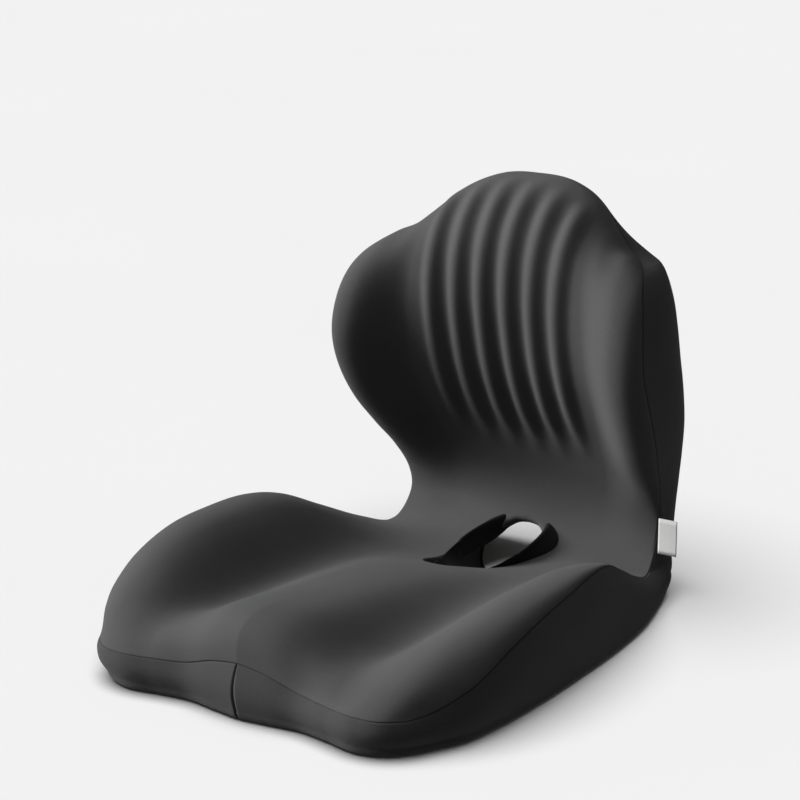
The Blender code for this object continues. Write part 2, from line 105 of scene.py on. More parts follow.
# Sections from the front edge, over the seat, down to the waist and up to the top edge:
# middle y and z | edge seam x, y and z | wing height, thigh trough depth, wing roll radius
SECTIONS = [
    (-0.269, 0.053, 0.168, -0.256, 0.036, 0.000, 0.000, 0.024),
    (-0.267, 0.074, 0.179, -0.238, 0.039, 0.004, 0.007, 0.023),
    (-0.254, 0.088, 0.191, -0.219, 0.048, 0.009, 0.016, 0.025),
    (-0.226, 0.093, 0.200, -0.197, 0.058, 0.013, 0.024, 0.027),
    (-0.178, 0.088, 0.206, -0.160, 0.075, 0.015, 0.029, 0.029),
    (-0.118, 0.082, 0.208, -0.110, 0.089, 0.015, 0.028, 0.031),
    (-0.058, 0.075, 0.205, -0.057, 0.095, 0.013, 0.024, 0.031),
    (-0.005, 0.066, 0.199, -0.010, 0.097, 0.010, 0.019, 0.031),
    (0.045, 0.053, 0.190, 0.035, 0.090, 0.006, 0.012, 0.031),
    (0.095, 0.039, 0.178, 0.085, 0.069, 0.002, 0.006, 0.031),
    (0.145, 0.033, 0.163, 0.140, 0.044, 0.000, 0.000, 0.029),
    (0.187, 0.040, 0.152, 0.184, 0.031, 0.000, 0.000, 0.027),
    (0.211, 0.062, 0.147, 0.210, 0.055, 0.002, 0.000, 0.025),
    (0.217, 0.092, 0.149, 0.211, 0.082, 0.005, 0.000, 0.023),
    (0.209, 0.120, 0.157, 0.194, 0.115, 0.010, 0.000, 0.021),
    (0.194, 0.148, 0.166, 0.171, 0.146, 0.016, 0.000, 0.026),
    (0.172, 0.183, 0.174, 0.148, 0.180, 0.021, 0.000, 0.026),
    (0.154, 0.222, 0.177, 0.129, 0.215, 0.024, 0.000, 0.026),
    (0.143, 0.262, 0.176, 0.119, 0.246, 0.025, 0.000, 0.026),
    (0.138, 0.300, 0.173, 0.121, 0.275, 0.023, 0.000, 0.026),
    (0.141, 0.338, 0.168, 0.129, 0.299, 0.018, 0.000, 0.026),
    (0.154, 0.369, 0.161, 0.140, 0.316, 0.010, 0.000, 0.026),
    (0.179, 0.396, 0.153, 0.155, 0.327, 0.004, 0.000, 0.026),
    (0.209, 0.407, 0.147, 0.166, 0.332, 0.001, 0.000, 0.019),
    (0.232, 0.402, 0.141, 0.176, 0.335, 0.000, 0.000, 0.018),
]
LAST = len(SECTIONS) - 1
WAIST = 11 / LAST

# Front and top seams from the middle to the edge: share of the half width | x, y, z
FRONT_SEAM = [
    (0.00, 0.000, -0.269, 0.053),
    (0.18, 0.030, -0.267, 0.048),
    (0.35, 0.060, -0.265, 0.039),
    (0.56, 0.095, -0.271, 0.037),
    (0.76, 0.129, -0.276, 0.037),
    (0.90, 0.152, -0.270, 0.036),
    (1.00, 0.168, -0.256, 0.036),
]
TOP_SEAM = [
    (0.00, 0.000, 0.232, 0.402),
    (0.28, 0.041, 0.230, 0.398),
    (0.50, 0.073, 0.221, 0.383),
    (0.66, 0.096, 0.210, 0.362),
    (0.77, 0.111, 0.203, 0.348),
    (0.88, 0.126, 0.193, 0.341),
    (1.00, 0.141, 0.176, 0.335),
]
# Flat edge of the base from the front middle, round the right side, to the rear middle:
# position along the edge (1 at the waist, 2 at the rear middle) | x, y
BASE_EDGE = [
    (0.00, 0.000, -0.262),
    (0.06, 0.030, -0.258),
    (0.12, 0.061, -0.254),
    (0.18, 0.093, -0.258),
    (0.25, 0.126, -0.263),
    (0.29, 0.144, -0.257),
    (0.33, 0.158, -0.243),
    (0.38, 0.170, -0.221),
    (0.43, 0.181, -0.198),
    (0.50, 0.187, -0.160),
    (0.60, 0.190, -0.100),
    (0.71, 0.189, -0.030),
    (0.82, 0.185, 0.050),
    (0.92, 0.176, 0.120),
    (1.00, 0.162, 0.173),
    (1.25, 0.141, 0.213),
    (1.50, 0.103, 0.243),
    (1.75, 0.054, 0.260),
    (2.00, 0.000, 0.265),
]
# Rear line of the middle plane: height | y
REAR_LINE = [
    (0.000, 0.268),
    (0.030, 0.279),
    (0.070, 0.279),
    (0.110, 0.275),
    (0.120, 0.2736),
    (0.330, 0.2442),
    (0.340, 0.2428),
    (0.404, 0.232),
]
# Edge of the tailbone opening in the face, from its front tip to its rear tip:
# position round the half edge | section number, half width
OPENING_EDGE = [
    (0.00, 7.75, 0.0000),
    (0.07, 7.80, 0.0085),
    (0.14, 7.95, 0.0152),
    (0.23, 8.22, 0.0208),
    (0.34, 8.66, 0.0258),
    (0.46, 9.20, 0.0305),
    (0.58, 9.80, 0.0336),
    (0.68, 10.32, 0.0338),
    (0.77, 10.80, 0.0303),
    (0.85, 11.20, 0.0248),
    (0.92, 11.48, 0.0175),
    (0.97, 11.62, 0.0090),
    (1.00, 11.65, 0.0000),
]
OPENING_ROLL = 0.0045
HEM_STEP = 0.0022
HEM_DEPTHS = (0.0022, 0.0045)
OPENING_BLOCK = (6.9, 12.15, 0.056)
# Tunnel below the opening, as slanting oval rings in the middle plane:
# lower end y and z | upper end y and z | half width
TUNNEL_RINGS = [
    (0.062, 0.036, 0.226, 0.052, 0.0350),
    (0.100, 0.028, 0.240, 0.056, 0.0390),
    (0.163, 0.000, 0.268, 0.055, 0.0620),
    (0.320, -0.060, 0.320, 0.053, 0.1100),
]

# The zip up the middle of the rear face
ZIP_FOOT = Vector((0.0, 0.2736, 0.120))
ZIP_LENGTH = 0.205
SLIDER_PLACE = ZIP_LENGTH - 0.018
STOP_INSET = 0.006
ZIP_LEAN = atan2(0.2736 - 0.24490, ZIP_LENGTH)
ZIP_UP = Vector((0.0, -sin(ZIP_LEAN), cos(ZIP_LEAN)))
ZIP_OUT = Vector((0.0, cos(ZIP_LEAN), sin(ZIP_LEAN)))
ZIP_WELL_DEPTH = 0.0034
ZIP_WELL_EDGE = (0.0060, 0.0086)

# Density of the cover's mesh
HALF_COLUMNS = 84
SEAT_ROWS = 122
BACK_ROWS = 126
WALL_ROWS = 26
CROWN_ROWS = 14
FACE, RIGHT, LEFT, BASE = range(4)
SIDES = {1: "right", -1: "left"}


# ---------------------------------------------------------------- the cushion's shape

def smooth_curve(keys, values):
    """Return a function that passes smoothly through the values at the keys."""
    keys = np.array(keys, float)
    values = np.array(values, float)
    step = np.diff(keys)
    slope = np.diff(values, axis=0) / step[:, None]
    tangent = np.empty_like(values)
    weight = (step[1:] + step[:-1])[:, None]
    tangent[1:-1] = (slope[:-1] * step[1:, None] + slope[1:] * step[:-1, None]) / weight
    tangent[0] = 1.5 * slope[0] - 0.5 * tangent[1]
    tangent[-1] = 1.5 * slope[-1] - 0.5 * tangent[-2]

    def curve(at):
        at = np.clip(np.asarray(at, float), keys[0], keys[-1])
        i = np.clip(np.searchsorted(keys, at, side="right") - 1, 0, len(keys) - 2)
        width = step[i][..., None]
        f = ((at - keys[i]) / step[i])[..., None]
        start = (1 + 2 * f) * (1 - f) ** 2 * values[i] + f * (1 - f) ** 2 * width * tangent[i]
        end = f * f * (3 - 2 * f) * values[i + 1] + f * f * (f - 1) * width * tangent[i + 1]
        return start + end

    return curve


def curve_of(table):
    """Return the curve through a table whose first column is the key."""
    table = np.array(table, float)
    return smooth_curve(table[:, 0], table[:, 1:])


def ease(low, high, at):
    """Rise smoothly from 0 at low to 1 at high."""
    f = np.clip((np.asarray(at, float) - low) / (high - low), 0.0, 1.0)
    return f * f * (3 - 2 * f)


section_at = smooth_curve(np.linspace(0.0, 1.0, len(SECTIONS)), SECTIONS)
front_seam_at = curve_of(FRONT_SEAM)
top_seam_at = curve_of(TOP_SEAM)
base_edge_at = curve_of(BASE_EDGE)
rear_line_at = curve_of(REAR_LINE)


def core_width(along):
    """Half width of the middle part of the face, where x grows evenly."""
    values = section_at(along)
    return np.minimum(CORE_HALF_WIDTH, 0.6 * (values[..., 2] - values[..., 7]))


def section_plan(across, along):
    """Return a section's values, its share of the half width, its wing rise, and its plain shape."""
    values = section_at(along)
    mid_y, mid_z, edge_x, edge_y, edge_z, _, _, roll = np.moveaxis(values, -1, 0)
    a = np.abs(across)
    crest_x = edge_x - roll
    core_x = np.minimum(CORE_HALF_WIDTH, 0.6 * crest_x)
    turn = np.clip((a - 0.75) / 0.25, 0.0, 1.0) * pi / 2
    flank = core_x + (crest_x - core_x) * (a - 0.5) / 0.25
    x = np.where(a < 0.5, core_x * a / 0.5, np.where(a < 0.75, flank, crest_x + roll * np.sin(turn)))
    share = x / edge_x
    y = mid_y + (edge_y - mid_y) * share ** 2
    z = mid_z + (edge_z - mid_z) * share ** 2
    wing_rise = ease(1.1 * core_x, crest_x, x) * np.cos(turn)
    return values, share, wing_rise, np.stack([x, y, z], -1)


def rib_height(x, along):
    """Height of the back's upright ribs."""
    rise = RIB_FOOT_RISE * (x / RIB_EDGE[1]) ** 2
    length = ease((RIB_FOOT[0] + rise) / LAST, (RIB_FOOT[1] + rise) / LAST, along)
    length = length * (1 - ease(RIB_HEAD[0] / LAST, RIB_HEAD[1] / LAST, along))
    wave = 0.5 * (1 - np.cos(2 * pi * x / RIB_PITCH))
    return RIB_HEIGHT * length * wave * (1 - ease(*RIB_EDGE, x))


def face_point(across, along):
    """Point of the face: across is -1 to 1 over the width, along is 0 (front) to 1 (top)."""
    across, along = np.broadcast_arrays(np.asarray(across, float), np.asarray(along, float))
    values, share, wing_rise, point = section_plan(across, along)
    x = point[..., 0]
    trough = np.exp(-((x - TROUGH_X) / TROUGH_WIDTH) ** 2) * (1 - ease(0.75, 0.98, share))
    height = values[..., 5] * wing_rise - values[..., 6] * trough + rib_height(x, along)
    step = 1e-3
    change = section_at(along + step) - section_at(along - step)
    middle = change[..., 0:2] / np.linalg.norm(change[..., 0:2], axis=-1, keepdims=True)
    edge = change[..., 3:5] / np.linalg.norm(change[..., 3:5], axis=-1, keepdims=True)
    run = (1 - share)[..., None] * middle + share[..., None] * edge
    run /= np.linalg.norm(run, axis=-1, keepdims=True)
    point = point + height[..., None] * np.stack([0 * x, -run[..., 1], run[..., 0]], -1)
    at_front = 1 - ease(0.0, 4 / LAST, along)
    at_top = ease(1 - 7 / LAST, 1.0, along)
    _, front_share, _, front = section_plan(across, np.zeros_like(along))
    _, top_share, _, top = section_plan(across, np.ones_like(along))
    point = point + at_front[..., None] * (front_seam_at(front_share) - front)
    point = point + at_top[..., None] * (top_seam_at(top_share) - top)
    point[..., 0] *= np.sign(across)
    return point


def rear_slice(along, angle):
    """Rear cross-section from the seam (angle 0) round to the middle (angle pi / 2)."""
    _, _, edge_x, edge_y, edge_z = np.moveaxis(section_at(along)[..., :5], -1, 0)
    rear_y = rear_line_at(edge_z)[..., 0]
    power = 2 / REAR_SQUARENESS
    c = np.clip(np.cos(angle), 0.0, 1.0)
    x = edge_x * c ** power + WALL_BULGE * np.sin(2 * angle)
    y = edge_y + (rear_y - edge_y) * np.sin(angle) ** power
    return np.stack([x, y, edge_z + 0 * angle], -1)


def spread(count, marks):
    """Shares from 0 to 1, closer together near each mark (place, width, strength)."""
    fine = np.linspace(0, 1, 6001)
    weight = 1 + sum(k * np.exp(-((fine - place) / width) ** 2) for place, width, k in marks)
    total = np.concatenate([[0.0], np.cumsum((weight[1:] + weight[:-1]) / 2)])
    return np.interp(np.linspace(0, total[-1], count + 1), total, fine)


def lengths(points):
    """Distance travelled along the second axis of a grid of points."""
    step = np.linalg.norm(np.diff(points, axis=1), axis=-1)
    return np.concatenate([np.zeros((len(points), 1)), np.cumsum(step, axis=1)], axis=1)


def even_parameter(curve, high, rows, shares):
    """Parameter of each row's curve at the given shares of its length."""
    fine = np.sin(np.linspace(0, 1, 601) * pi / 2) if high > 1 else np.linspace(0, 1, 601)
    fine = fine * high
    run = lengths(curve(fine[None, :], rows[:, None]))
    return np.array([np.interp(shares * r[-1], r, fine) for r in run]), run[:, -1]


class Cloth:
    """The cover as it is laid up: patches of points with their place on the cloth, in metres."""

    def __init__(self):
        self.bm = bmesh.new()
        self.panel = self.bm.faces.layers.int.new("panel")
        self.rim = self.bm.verts.layers.float.new("rim")
        self.cloth = self.bm.loops.layers.uv.new("cloth")

    def patch(self, points, places, number, flip=False, skip=None, closed=False, rim=None):
        """Add a grid of faces, with an optional test for cells to leave out."""
        rows = [[self.bm.verts.new(point) for point in row] for row in points]
        for i, row in enumerate(rows):
            for j, vert in enumerate(row):
                vert[self.rim] = 1.0 if rim is None else rim[i][j]
        high = len(rows[0]) if closed else len(rows[0]) - 1
        for i in range(len(rows) - 1):
            for j in range(high):
                if skip is not None and skip(i, j):
                    continue
                k = (j + 1) % len(rows[0])
                corners = [(i, j), (i, k), (i + 1, k), (i + 1, j)]
                if flip:
                    corners.reverse()
                face = self.bm.faces.new([rows[a][b] for a, b in corners])
                face[self.panel] = number
                face.smooth = True
                for loop, (a, b) in zip(face.loops, corners):
                    loop[self.cloth].uv = places[a][b]


def cloth_rows(seat_rows, back_rows):
    """Rows of the cover from the front seam to the top seam, closer near seams and zip ends."""
    heights = section_at(np.linspace(WAIST, 1, 2001))[:, 4]
    back = np.linspace(0, 1, 2001)
    foot = np.interp(ZIP_FOOT[2], heights, back)
    head = np.interp(ZIP_FOOT[2] + ZIP_UP[2] * ZIP_LENGTH, heights, back)
    seat = spread(seat_rows, [(0.0, 0.018, 10.0)]) * WAIST
    rise = spread(back_rows, [(1.0, 0.014, 8.0), (foot, 0.012, 2.0), (head, 0.008, 2.0)])
    return np.concatenate([seat, WAIST + (1 - WAIST) * rise[1:]])


def opening_outline(count=720):
    """Dense edge of the tailbone opening, as x and distance along the middle line."""
    edge = curve_of(OPENING_EDGE)(np.linspace(0, 1, count))
    station = np.linspace(0, 1, 4001)
    middle = section_at(station)[:, :2]
    travel = lengths(middle[None])[0]
    run = np.interp(edge[:, 0] / LAST, station, travel)
    right = np.column_stack([np.maximum(edge[:, 1], 0), run])
    left = right[-2:0:-1] * np.array([-1, 1])
    return np.concatenate([right, left]), station, travel


def opening_patch(cloth, across, along, places, block):
    """Close the face round the tailbone opening, with rings that hug its edge."""
    low, high, left, right = block
    loop = [(low, j) for j in range(left, right)]
    loop += [(i, right) for i in range(low, high)]
    loop += [(high, j) for j in range(right, left, -1)]
    loop += [(i, left) for i in range(high, low, -1)]
    outline, station, travel = opening_outline()
    row = np.array([i for i, _ in loop])
    column = np.array([j for _, j in loop])
    outer = np.column_stack([
        across[row, column] * core_width(along[row]) / 0.5,
        np.interp(along[row], station, travel),
    ])
    centre = np.array([0.0, outline[:, 1].min() * 0.45 + outline[:, 1].max() * 0.55])

    def bearing(points):
        return np.arctan2(points[:, 0] - centre[0], points[:, 1] - centre[1])

    turn = bearing(outline)
    order = np.argsort(turn)
    turn = turn[order]
    ring = outline[order]
    turn = np.concatenate([turn - 2 * pi, turn, turn + 2 * pi])
    ring = np.concatenate([ring, ring, ring])
    wanted = bearing(outer)
    inner = np.column_stack([np.interp(wanted, turn, ring[:, k]) for k in (0, 1)])
    gap = np.linalg.norm(outer - inner, axis=1)
    shares = spread(26, [(0.0, 0.12, 6.0)])
    points = []
    marks = []
    distance = []
    outer_place = places[row, column]
    for share in shares:
        flat = inner + (outer - inner) * share
        t = np.interp(flat[:, 1], travel, station)
        u = flat[:, 0] * 0.5 / core_width(t)
        if share == 1.0:
            t, u = along[row], across[row, column]
        points.append(face_point(u, t))
        marks.append(outer_place + (flat - outer))
        distance.append(gap * share)
    cloth.patch(points, np.array(marks), FACE, closed=True, rim=distance, flip=True)


def lay_up_cover(half_columns, seat_rows, back_rows, opening=True):
    """Lay the face, both side panels and the base edge as one welded skin."""
    cloth = Cloth()
    along = cloth_rows(seat_rows, back_rows)
    shares = spread(half_columns, [(0.0, 0.030, 1.6), (0.030, 0.012, 2.2), (1.0, 0.014, 8.0)])
    half, width = even_parameter(face_point, 1.0, along, shares)
    across = np.concatenate([-half[:, :0:-1], half], axis=1)
    grid = face_point(across, along[:, None])
    middle_run = lengths(section_at(along)[None, :, :2])[0]
    side = np.concatenate([-shares[:0:-1], shares])
    places = np.stack([side[None, :] * width[:, None], middle_run[:, None] + 0 * across], -1)

    low = int(np.searchsorted(along, OPENING_BLOCK[0] / LAST))
    high = int(np.searchsorted(along, OPENING_BLOCK[1] / LAST))
    reach = int(np.searchsorted(half[low], 0.5 * OPENING_BLOCK[2] / core_width(along[low])))
    left, right = half_columns - reach, half_columns + reach

    def in_block(i, j):
        return opening and low <= i < high and left <= j < right

    cloth.patch(grid, places, FACE, skip=in_block)
    if opening:
        opening_patch(cloth, across, along, places, (low, high, left, right))

    turn_at = int(np.argmin(np.abs(along - WAIST)))
    rises = along[turn_at:]
    seam_first = 1 - shares[::-1]
    angles, _ = even_parameter(lambda a, t: rear_slice(t, a), pi / 2, rises, seam_first)
    front = grid[0, half_columns:]
    flank = grid[1:turn_at + 1, -1]
    rear = rear_slice(rises[0], angles[0])[1:]
    upper = np.concatenate([front, flank, rear])
    base_run = lengths(base_edge_at(np.linspace(1, 2, 401))[None])[0]
    rear_place = np.interp(seam_first[1:] * base_run[-1], base_run, np.linspace(1, 2, 401))
    place = np.concatenate([
        0.33 * front[:, 0] / front[-1, 0],
        0.33 + 0.67 * along[1:turn_at + 1] / WAIST,
        rear_place,
    ])
    edge = base_edge_at(place)
    tangent = base_edge_at(place + 0.01) - base_edge_at(place - 0.01)
    outward = np.stack([tangent[:, 1], -tangent[:, 0], 0 * place], -1)
    outward /= np.linalg.norm(outward, axis=1, keepdims=True)
    outward[0] = (0, -1, 0)
    outward[-1] = (0, 1, 0)
    lower = np.column_stack([edge, 0 * place])
    foot = lower + outward * BASE_ROUNDING + np.array([0, 0, BASE_ROUNDING])
    falls = spread(WALL_ROWS, [(0.0, 0.05, 6.0)])
    wall = []
    for f in falls:
        wall.append(upper + (foot - upper) * f + outward * WALL_BULGE * sin(pi * f))
    for bend in spread(10, [(1.0, 0.2, 2.0)])[1:]:
        turn = bend * pi / 2
        out = outward * BASE_ROUNDING * cos(turn)
        wall.append(lower + out + np.array([0, 0, BASE_ROUNDING * (1 - sin(turn))]))
    wall = np.array(wall)
    girth = lengths(upper[None])[0]
    drop = lengths(wall.transpose(1, 0, 2)).T
    wall_places = np.stack([girth[None, :] + 0 * drop, -drop], -1)

    slices = [rear_slice(t, a) for t, a in zip(rises, angles)]
    top = face_point(half[-1], 1.0)[::-1]
    crown = slices[-1]
    for f in spread(CROWN_ROWS, [(1.0, 0.12, 4.0)])[1:]:
        slices.append(crown + (top - crown) * np.array([f, f * f, f]))
    slices = np.array(slices)
    climb = lengths(slices.transpose(1, 0, 2)).T
    rear_girth = girth[-half_columns - 1:]
    rear_places = np.stack([rear_girth[None, :] + 0 * climb, climb], -1)

    for mirror, number in ((1, RIGHT), (-1, LEFT)):
        sign = np.array([mirror, 1, 1])
        turn_over = np.array([mirror, 1])
        cloth.patch(wall * sign, wall_places * turn_over, number, flip=mirror > 0)
        cloth.patch(slices * sign, rear_places * turn_over, number, flip=mirror < 0)
    ring = np.concatenate([lower, (lower * np.array([-1, 1, 1]))[-2:0:-1]])
    floor = cloth.bm.faces.new([cloth.bm.verts.new(point) for point in ring[::-1]])
    floor[cloth.panel] = BASE
    for vert in floor.verts:
        vert[cloth.rim] = 1.0
    for loop in floor.loops:
        loop[cloth.cloth].uv = loop.vert.co.xy
    bmesh.ops.triangulate(cloth.bm, faces=[floor], ngon_method="EAR_CLIP")
    bmesh.ops.remove_doubles(cloth.bm, verts=cloth.bm.verts, dist=2e-6)
    return cloth


def zip_well(points):
    """Share of the zip's well depth at each point of the rear face."""
    local = points - np.array(ZIP_FOOT)
    up = local @ np.array(ZIP_UP)
    out = local @ np.array(ZIP_OUT)
    length = ease(-0.0035, 0.0035, up) * (1 - ease(ZIP_LENGTH - 0.0035, ZIP_LENGTH + 0.0035, up))
    width = 1 - ease(*ZIP_WELL_EDGE, np.abs(points[:, 0]))
    near = np.abs(out) < 0.012
    return length * near, length * width * near


def seam_samples(cloth):
    """Points along every seam, 0.3 mm apart, with the direction each seam is pulled."""
    places = []
    pulls = []
    for edge in cloth.bm.edges:
        if len(edge.link_faces) != 2:
            continue
        one, two = edge.link_faces
        if one[cloth.panel] == two[cloth.panel]:
            continue
        a, b = edge.verts
        count = max(1, int(edge.calc_length() / 0.0003))
        for k in range(count):
            f = k / count
            places.append(a.co.lerp(b.co, f))
            pulls.append(a.normal.lerp(b.normal, f))
    return places, pulls


def tension_seams(cloth):
    """Pull the skin in along its seams, round the opening's edge, and down the zip's well."""
    bm = cloth.bm
    bm.normal_update()
    verts = list(bm.verts)
    points = np.array([v.co for v in verts])
    normals = np.array([v.normal for v in verts])
    places, pulls = seam_samples(cloth)
    tree = KDTree(len(places))
    for i, place in enumerate(places):
        tree.insert(place, i)
    tree.balance()
    pulls = np.array(pulls)
    nearest = [tree.find(v.co) for v in verts]
    index = np.array([n[1] for n in nearest])
    away = np.array([n[2] for n in nearest])
    on_seam = np.array([len({f[cloth.panel] for f in v.link_faces}) > 1 for v in verts])
    away[on_seam] = 0.0
    f = np.clip(1 - away / SEAM_REACH, 0, 1)
    dip = 1 - np.sqrt(np.maximum(1 - f * f, 0))
    zone, well = zip_well(points)
    pull = pulls[index]
    pull[on_seam] = normals[on_seam]
    pull /= np.linalg.norm(pull, axis=1, keepdims=True)
    dip = dip * (1 - zone)
    moved = points - pull * (dip * SEAM_DEPTH)[:, None]
    moved -= np.array(ZIP_OUT) * (well * ZIP_WELL_DEPTH)[:, None]
    rim = np.array([v[cloth.rim] for v in verts])
    inside = np.clip(1 - rim / OPENING_ROLL, 0, 1)
    sink = OPENING_ROLL * (1 - np.sqrt(np.maximum(1 - inside ** 2, 0)))
    moved -= normals * sink[:, None]
    for vert, point in zip(verts, moved):
        vert.co = point
    turn_under(cloth, {v: Vector(n) for v, n, r in zip(verts, normals, rim) if r < 1e-7})
    bm.normal_update()


def turn_under(cloth, normals):
    """Carry the face down inside the opening by a short hem."""
    bm = cloth.bm
    edges = [e for e in bm.edges if len(e.link_faces) == 1]
    for depth in HEM_DEPTHS:
        made = bmesh.ops.extrude_edge_only(bm, edges=edges)["geom"]
        fresh = [g for g in made if isinstance(g, bmesh.types.BMVert)]
        edges = [g for g in made if isinstance(g, bmesh.types.BMEdge) and len(g.link_faces) == 1]
        above = {v: next(e.other_vert(v) for e in v.link_edges if e.other_vert(v) in normals) for v in fresh}
        for vert, source in above.items():
            vert.co = source.co - normals[source] * HEM_STEP
            vert[cloth.rim] = -depth
        for face in {f for v in fresh for f in v.link_faces}:
            face[cloth.panel] = FACE
            face.smooth = True
            for loop in face.loops:
                if loop.vert in above:
                    source = above[loop.vert]
                    other = next(l for f in source.link_faces for l in f.loops if l.vert == source)
                    loop[cloth.cloth].uv = other[cloth.cloth].uv + Vector((0, -HEM_STEP))
        normals = {vert: normals[source] for vert, source in above.items()}
    cloth.rim_loop = list(normals)


# ---------------------------------------------------------------- pieces

def new_object(name, data):
    """Put a mesh or a curve in the scene as an object at the origin."""
    made = bpy.data.objects.new(name, data)
    scene.collection.objects.link(made)
    return made


def object_from(name, bm, look=None):
    """Turn a bmesh into an object."""
    mesh = bpy.data.meshes.new(name)
    bm.to_mesh(mesh)
    bm.free()
    if look:
        mesh.materials.append(look)
    return new_object(name, mesh)


def smooth(mesh):
    """Shade every face of a mesh smoothly."""
    mesh.polygons.foreach_set("use_smooth", np.ones(len(mesh.polygons), bool))


def settled_mesh(made):
    """What an object's modifiers make of it, as a plain mesh."""
    bpy.context.view_layer.update()
    graph = bpy.context.evaluated_depsgraph_get()
    return bpy.data.meshes.new_from_object(made.evaluated_get(graph))


def keep_result(made):
    """Replace an object's mesh with what its modifiers make of it."""
    mesh = settled_mesh(made)
    made.modifiers.clear()
    old = made.data
    made.data = mesh
    bpy.data.meshes.remove(old)
    mesh.name = made.name
    return made


def panel_object(cloth, number, name, look):
    """One panel of the cover, given its thickness inwards and closed round its edge."""
    bm = cloth.bm
    faces = [f for f in bm.faces if f[cloth.panel] == number]
    own = set(faces)
    verts = list({v: None for f in faces for v in f.verts})
    index = {v: i for i, v in enumerate(verts)}
    outer = [v.co.copy() for v in verts]
    inner = [v.co - v.normal * COVER_THICKNESS * min(v.calc_shell_factor(), 1.4) for v in verts]
    count = len(verts)
    polygons = []
    marks = []
    for face in faces:
        ids = [index[v] for v in face.verts]
        uv = [tuple(l[cloth.cloth].uv) for l in face.loops]
        polygons.append(ids)
        marks.extend(uv)
        polygons.append([i + count for i in reversed(ids)])
        marks.extend(reversed(uv))
        for loop in face.loops:
            if all(f not in own or f is face for f in loop.edge.link_faces):
                a, b = index[loop.vert], index[loop.link_loop_next.vert]
                polygons.append([b, a, a + count, b + count])
                here = tuple(loop[cloth.cloth].uv)
                there = tuple(loop.link_loop_next[cloth.cloth].uv)
                marks.extend([there, here, here, there])
    mesh = bpy.data.meshes.new(name)
    mesh.from_pydata([tuple(p) for p in outer + inner], [], polygons)
    layer = mesh.uv_layers.new(name="cloth")
    layer.data.foreach_set("uv", np.array(marks, np.float32).ravel())
    smooth(mesh)
    mesh.materials.append(look)
    mesh.validate()
    return new_object(name, mesh)


def boolean_cut(target, tool):
    """Cut the target with the tool and keep the result as a plain mesh."""
    modifier = target.modifiers.new("cut", "BOOLEAN")
    modifier.operation = "DIFFERENCE"
    modifier.object = tool
    modifier.solver = "MANIFOLD"
    keep_result(target)


def tunnel_ring(values, turns):
    """Points of one slanting oval ring of the tunnel: turn 0 is its upper end."""
    low_y, low_z, high_y, high_z, half_width = values
    middle = np.array([0, (low_y + high_y) / 2, (low_z + high_z) / 2])
    reach = np.array([0, (high_y - low_y) / 2, (high_z - low_z) / 2])
    side = np.array([half_width, 0, 0])
    return middle + np.cos(turns)[:, None] * reach + np.sin(turns)[:, None] * side


def tube_mesh(rings, closed_ends=True):
    """Loft closed rings into a bmesh."""
    bm = bmesh.new()
    rows = [[bm.verts.new(p) for p in ring] for ring in rings]
    count = len(rows[0])
    for low, high in zip(rows[:-1], rows[1:]):
        for i in range(count):
            j = (i + 1) % count
            bm.faces.new([low[i], low[j], high[j], high[i]]).smooth = True
    if closed_ends:
        bm.faces.new(rows[0][::-1])
        bm.faces.new(rows[-1])
    return bm


def tunnel_path(cloth):
    """Rings of the tunnel from the opening's hem down to where it leaves the cover."""
    start = np.array([v.co for v in cloth.rim_loop])
    middle_y = (start[:, 1].max() + start[:, 1].min()) / 2
    start = start[np.argsort(np.arctan2(start[:, 0], start[:, 1] - middle_y))]
    span = (start[:, 1].max() - start[:, 1].min()) / 2
    turns = np.arccos(np.clip((start[:, 1] - middle_y) / span, -1, 1))
    turns = turns * np.where(start[:, 0] < 0, -1, 1)
    keys = [start * np.array([1.01, 1, 1])] + [tunnel_ring(r, turns) for r in TUNNEL_RINGS]
    run = smooth_curve(np.arange(len(keys)), np.array(keys).reshape(len(keys), -1))
    return np.array([run(t).reshape(-1, 3) for t in np.linspace(0, len(keys) - 1, 81)])


def leave_points(rings, cloth):
    """Where each line of the tunnel passes out through the cover, as a count of rings."""
    cloth.bm.verts.index_update()
    walls = [[v.index for v in f.verts] for f in cloth.bm.faces if f[cloth.panel] != FACE]
    tree = BVHTree.FromPolygons([v.co for v in cloth.bm.verts], walls)
    leave = np.full(len(rings[0]), float(len(rings) - 1))
    for j in range(len(rings[0])):
        for i in range(24, len(rings) - 1):
            a = Vector(rings[i][j])
            step = Vector(rings[i + 1][j]) - a
            hit = tree.ray_cast(a, step.normalized(), step.length)
            if hit[0] is not None:
                leave[j] = i + hit[3] / step.length
                break
    return leave


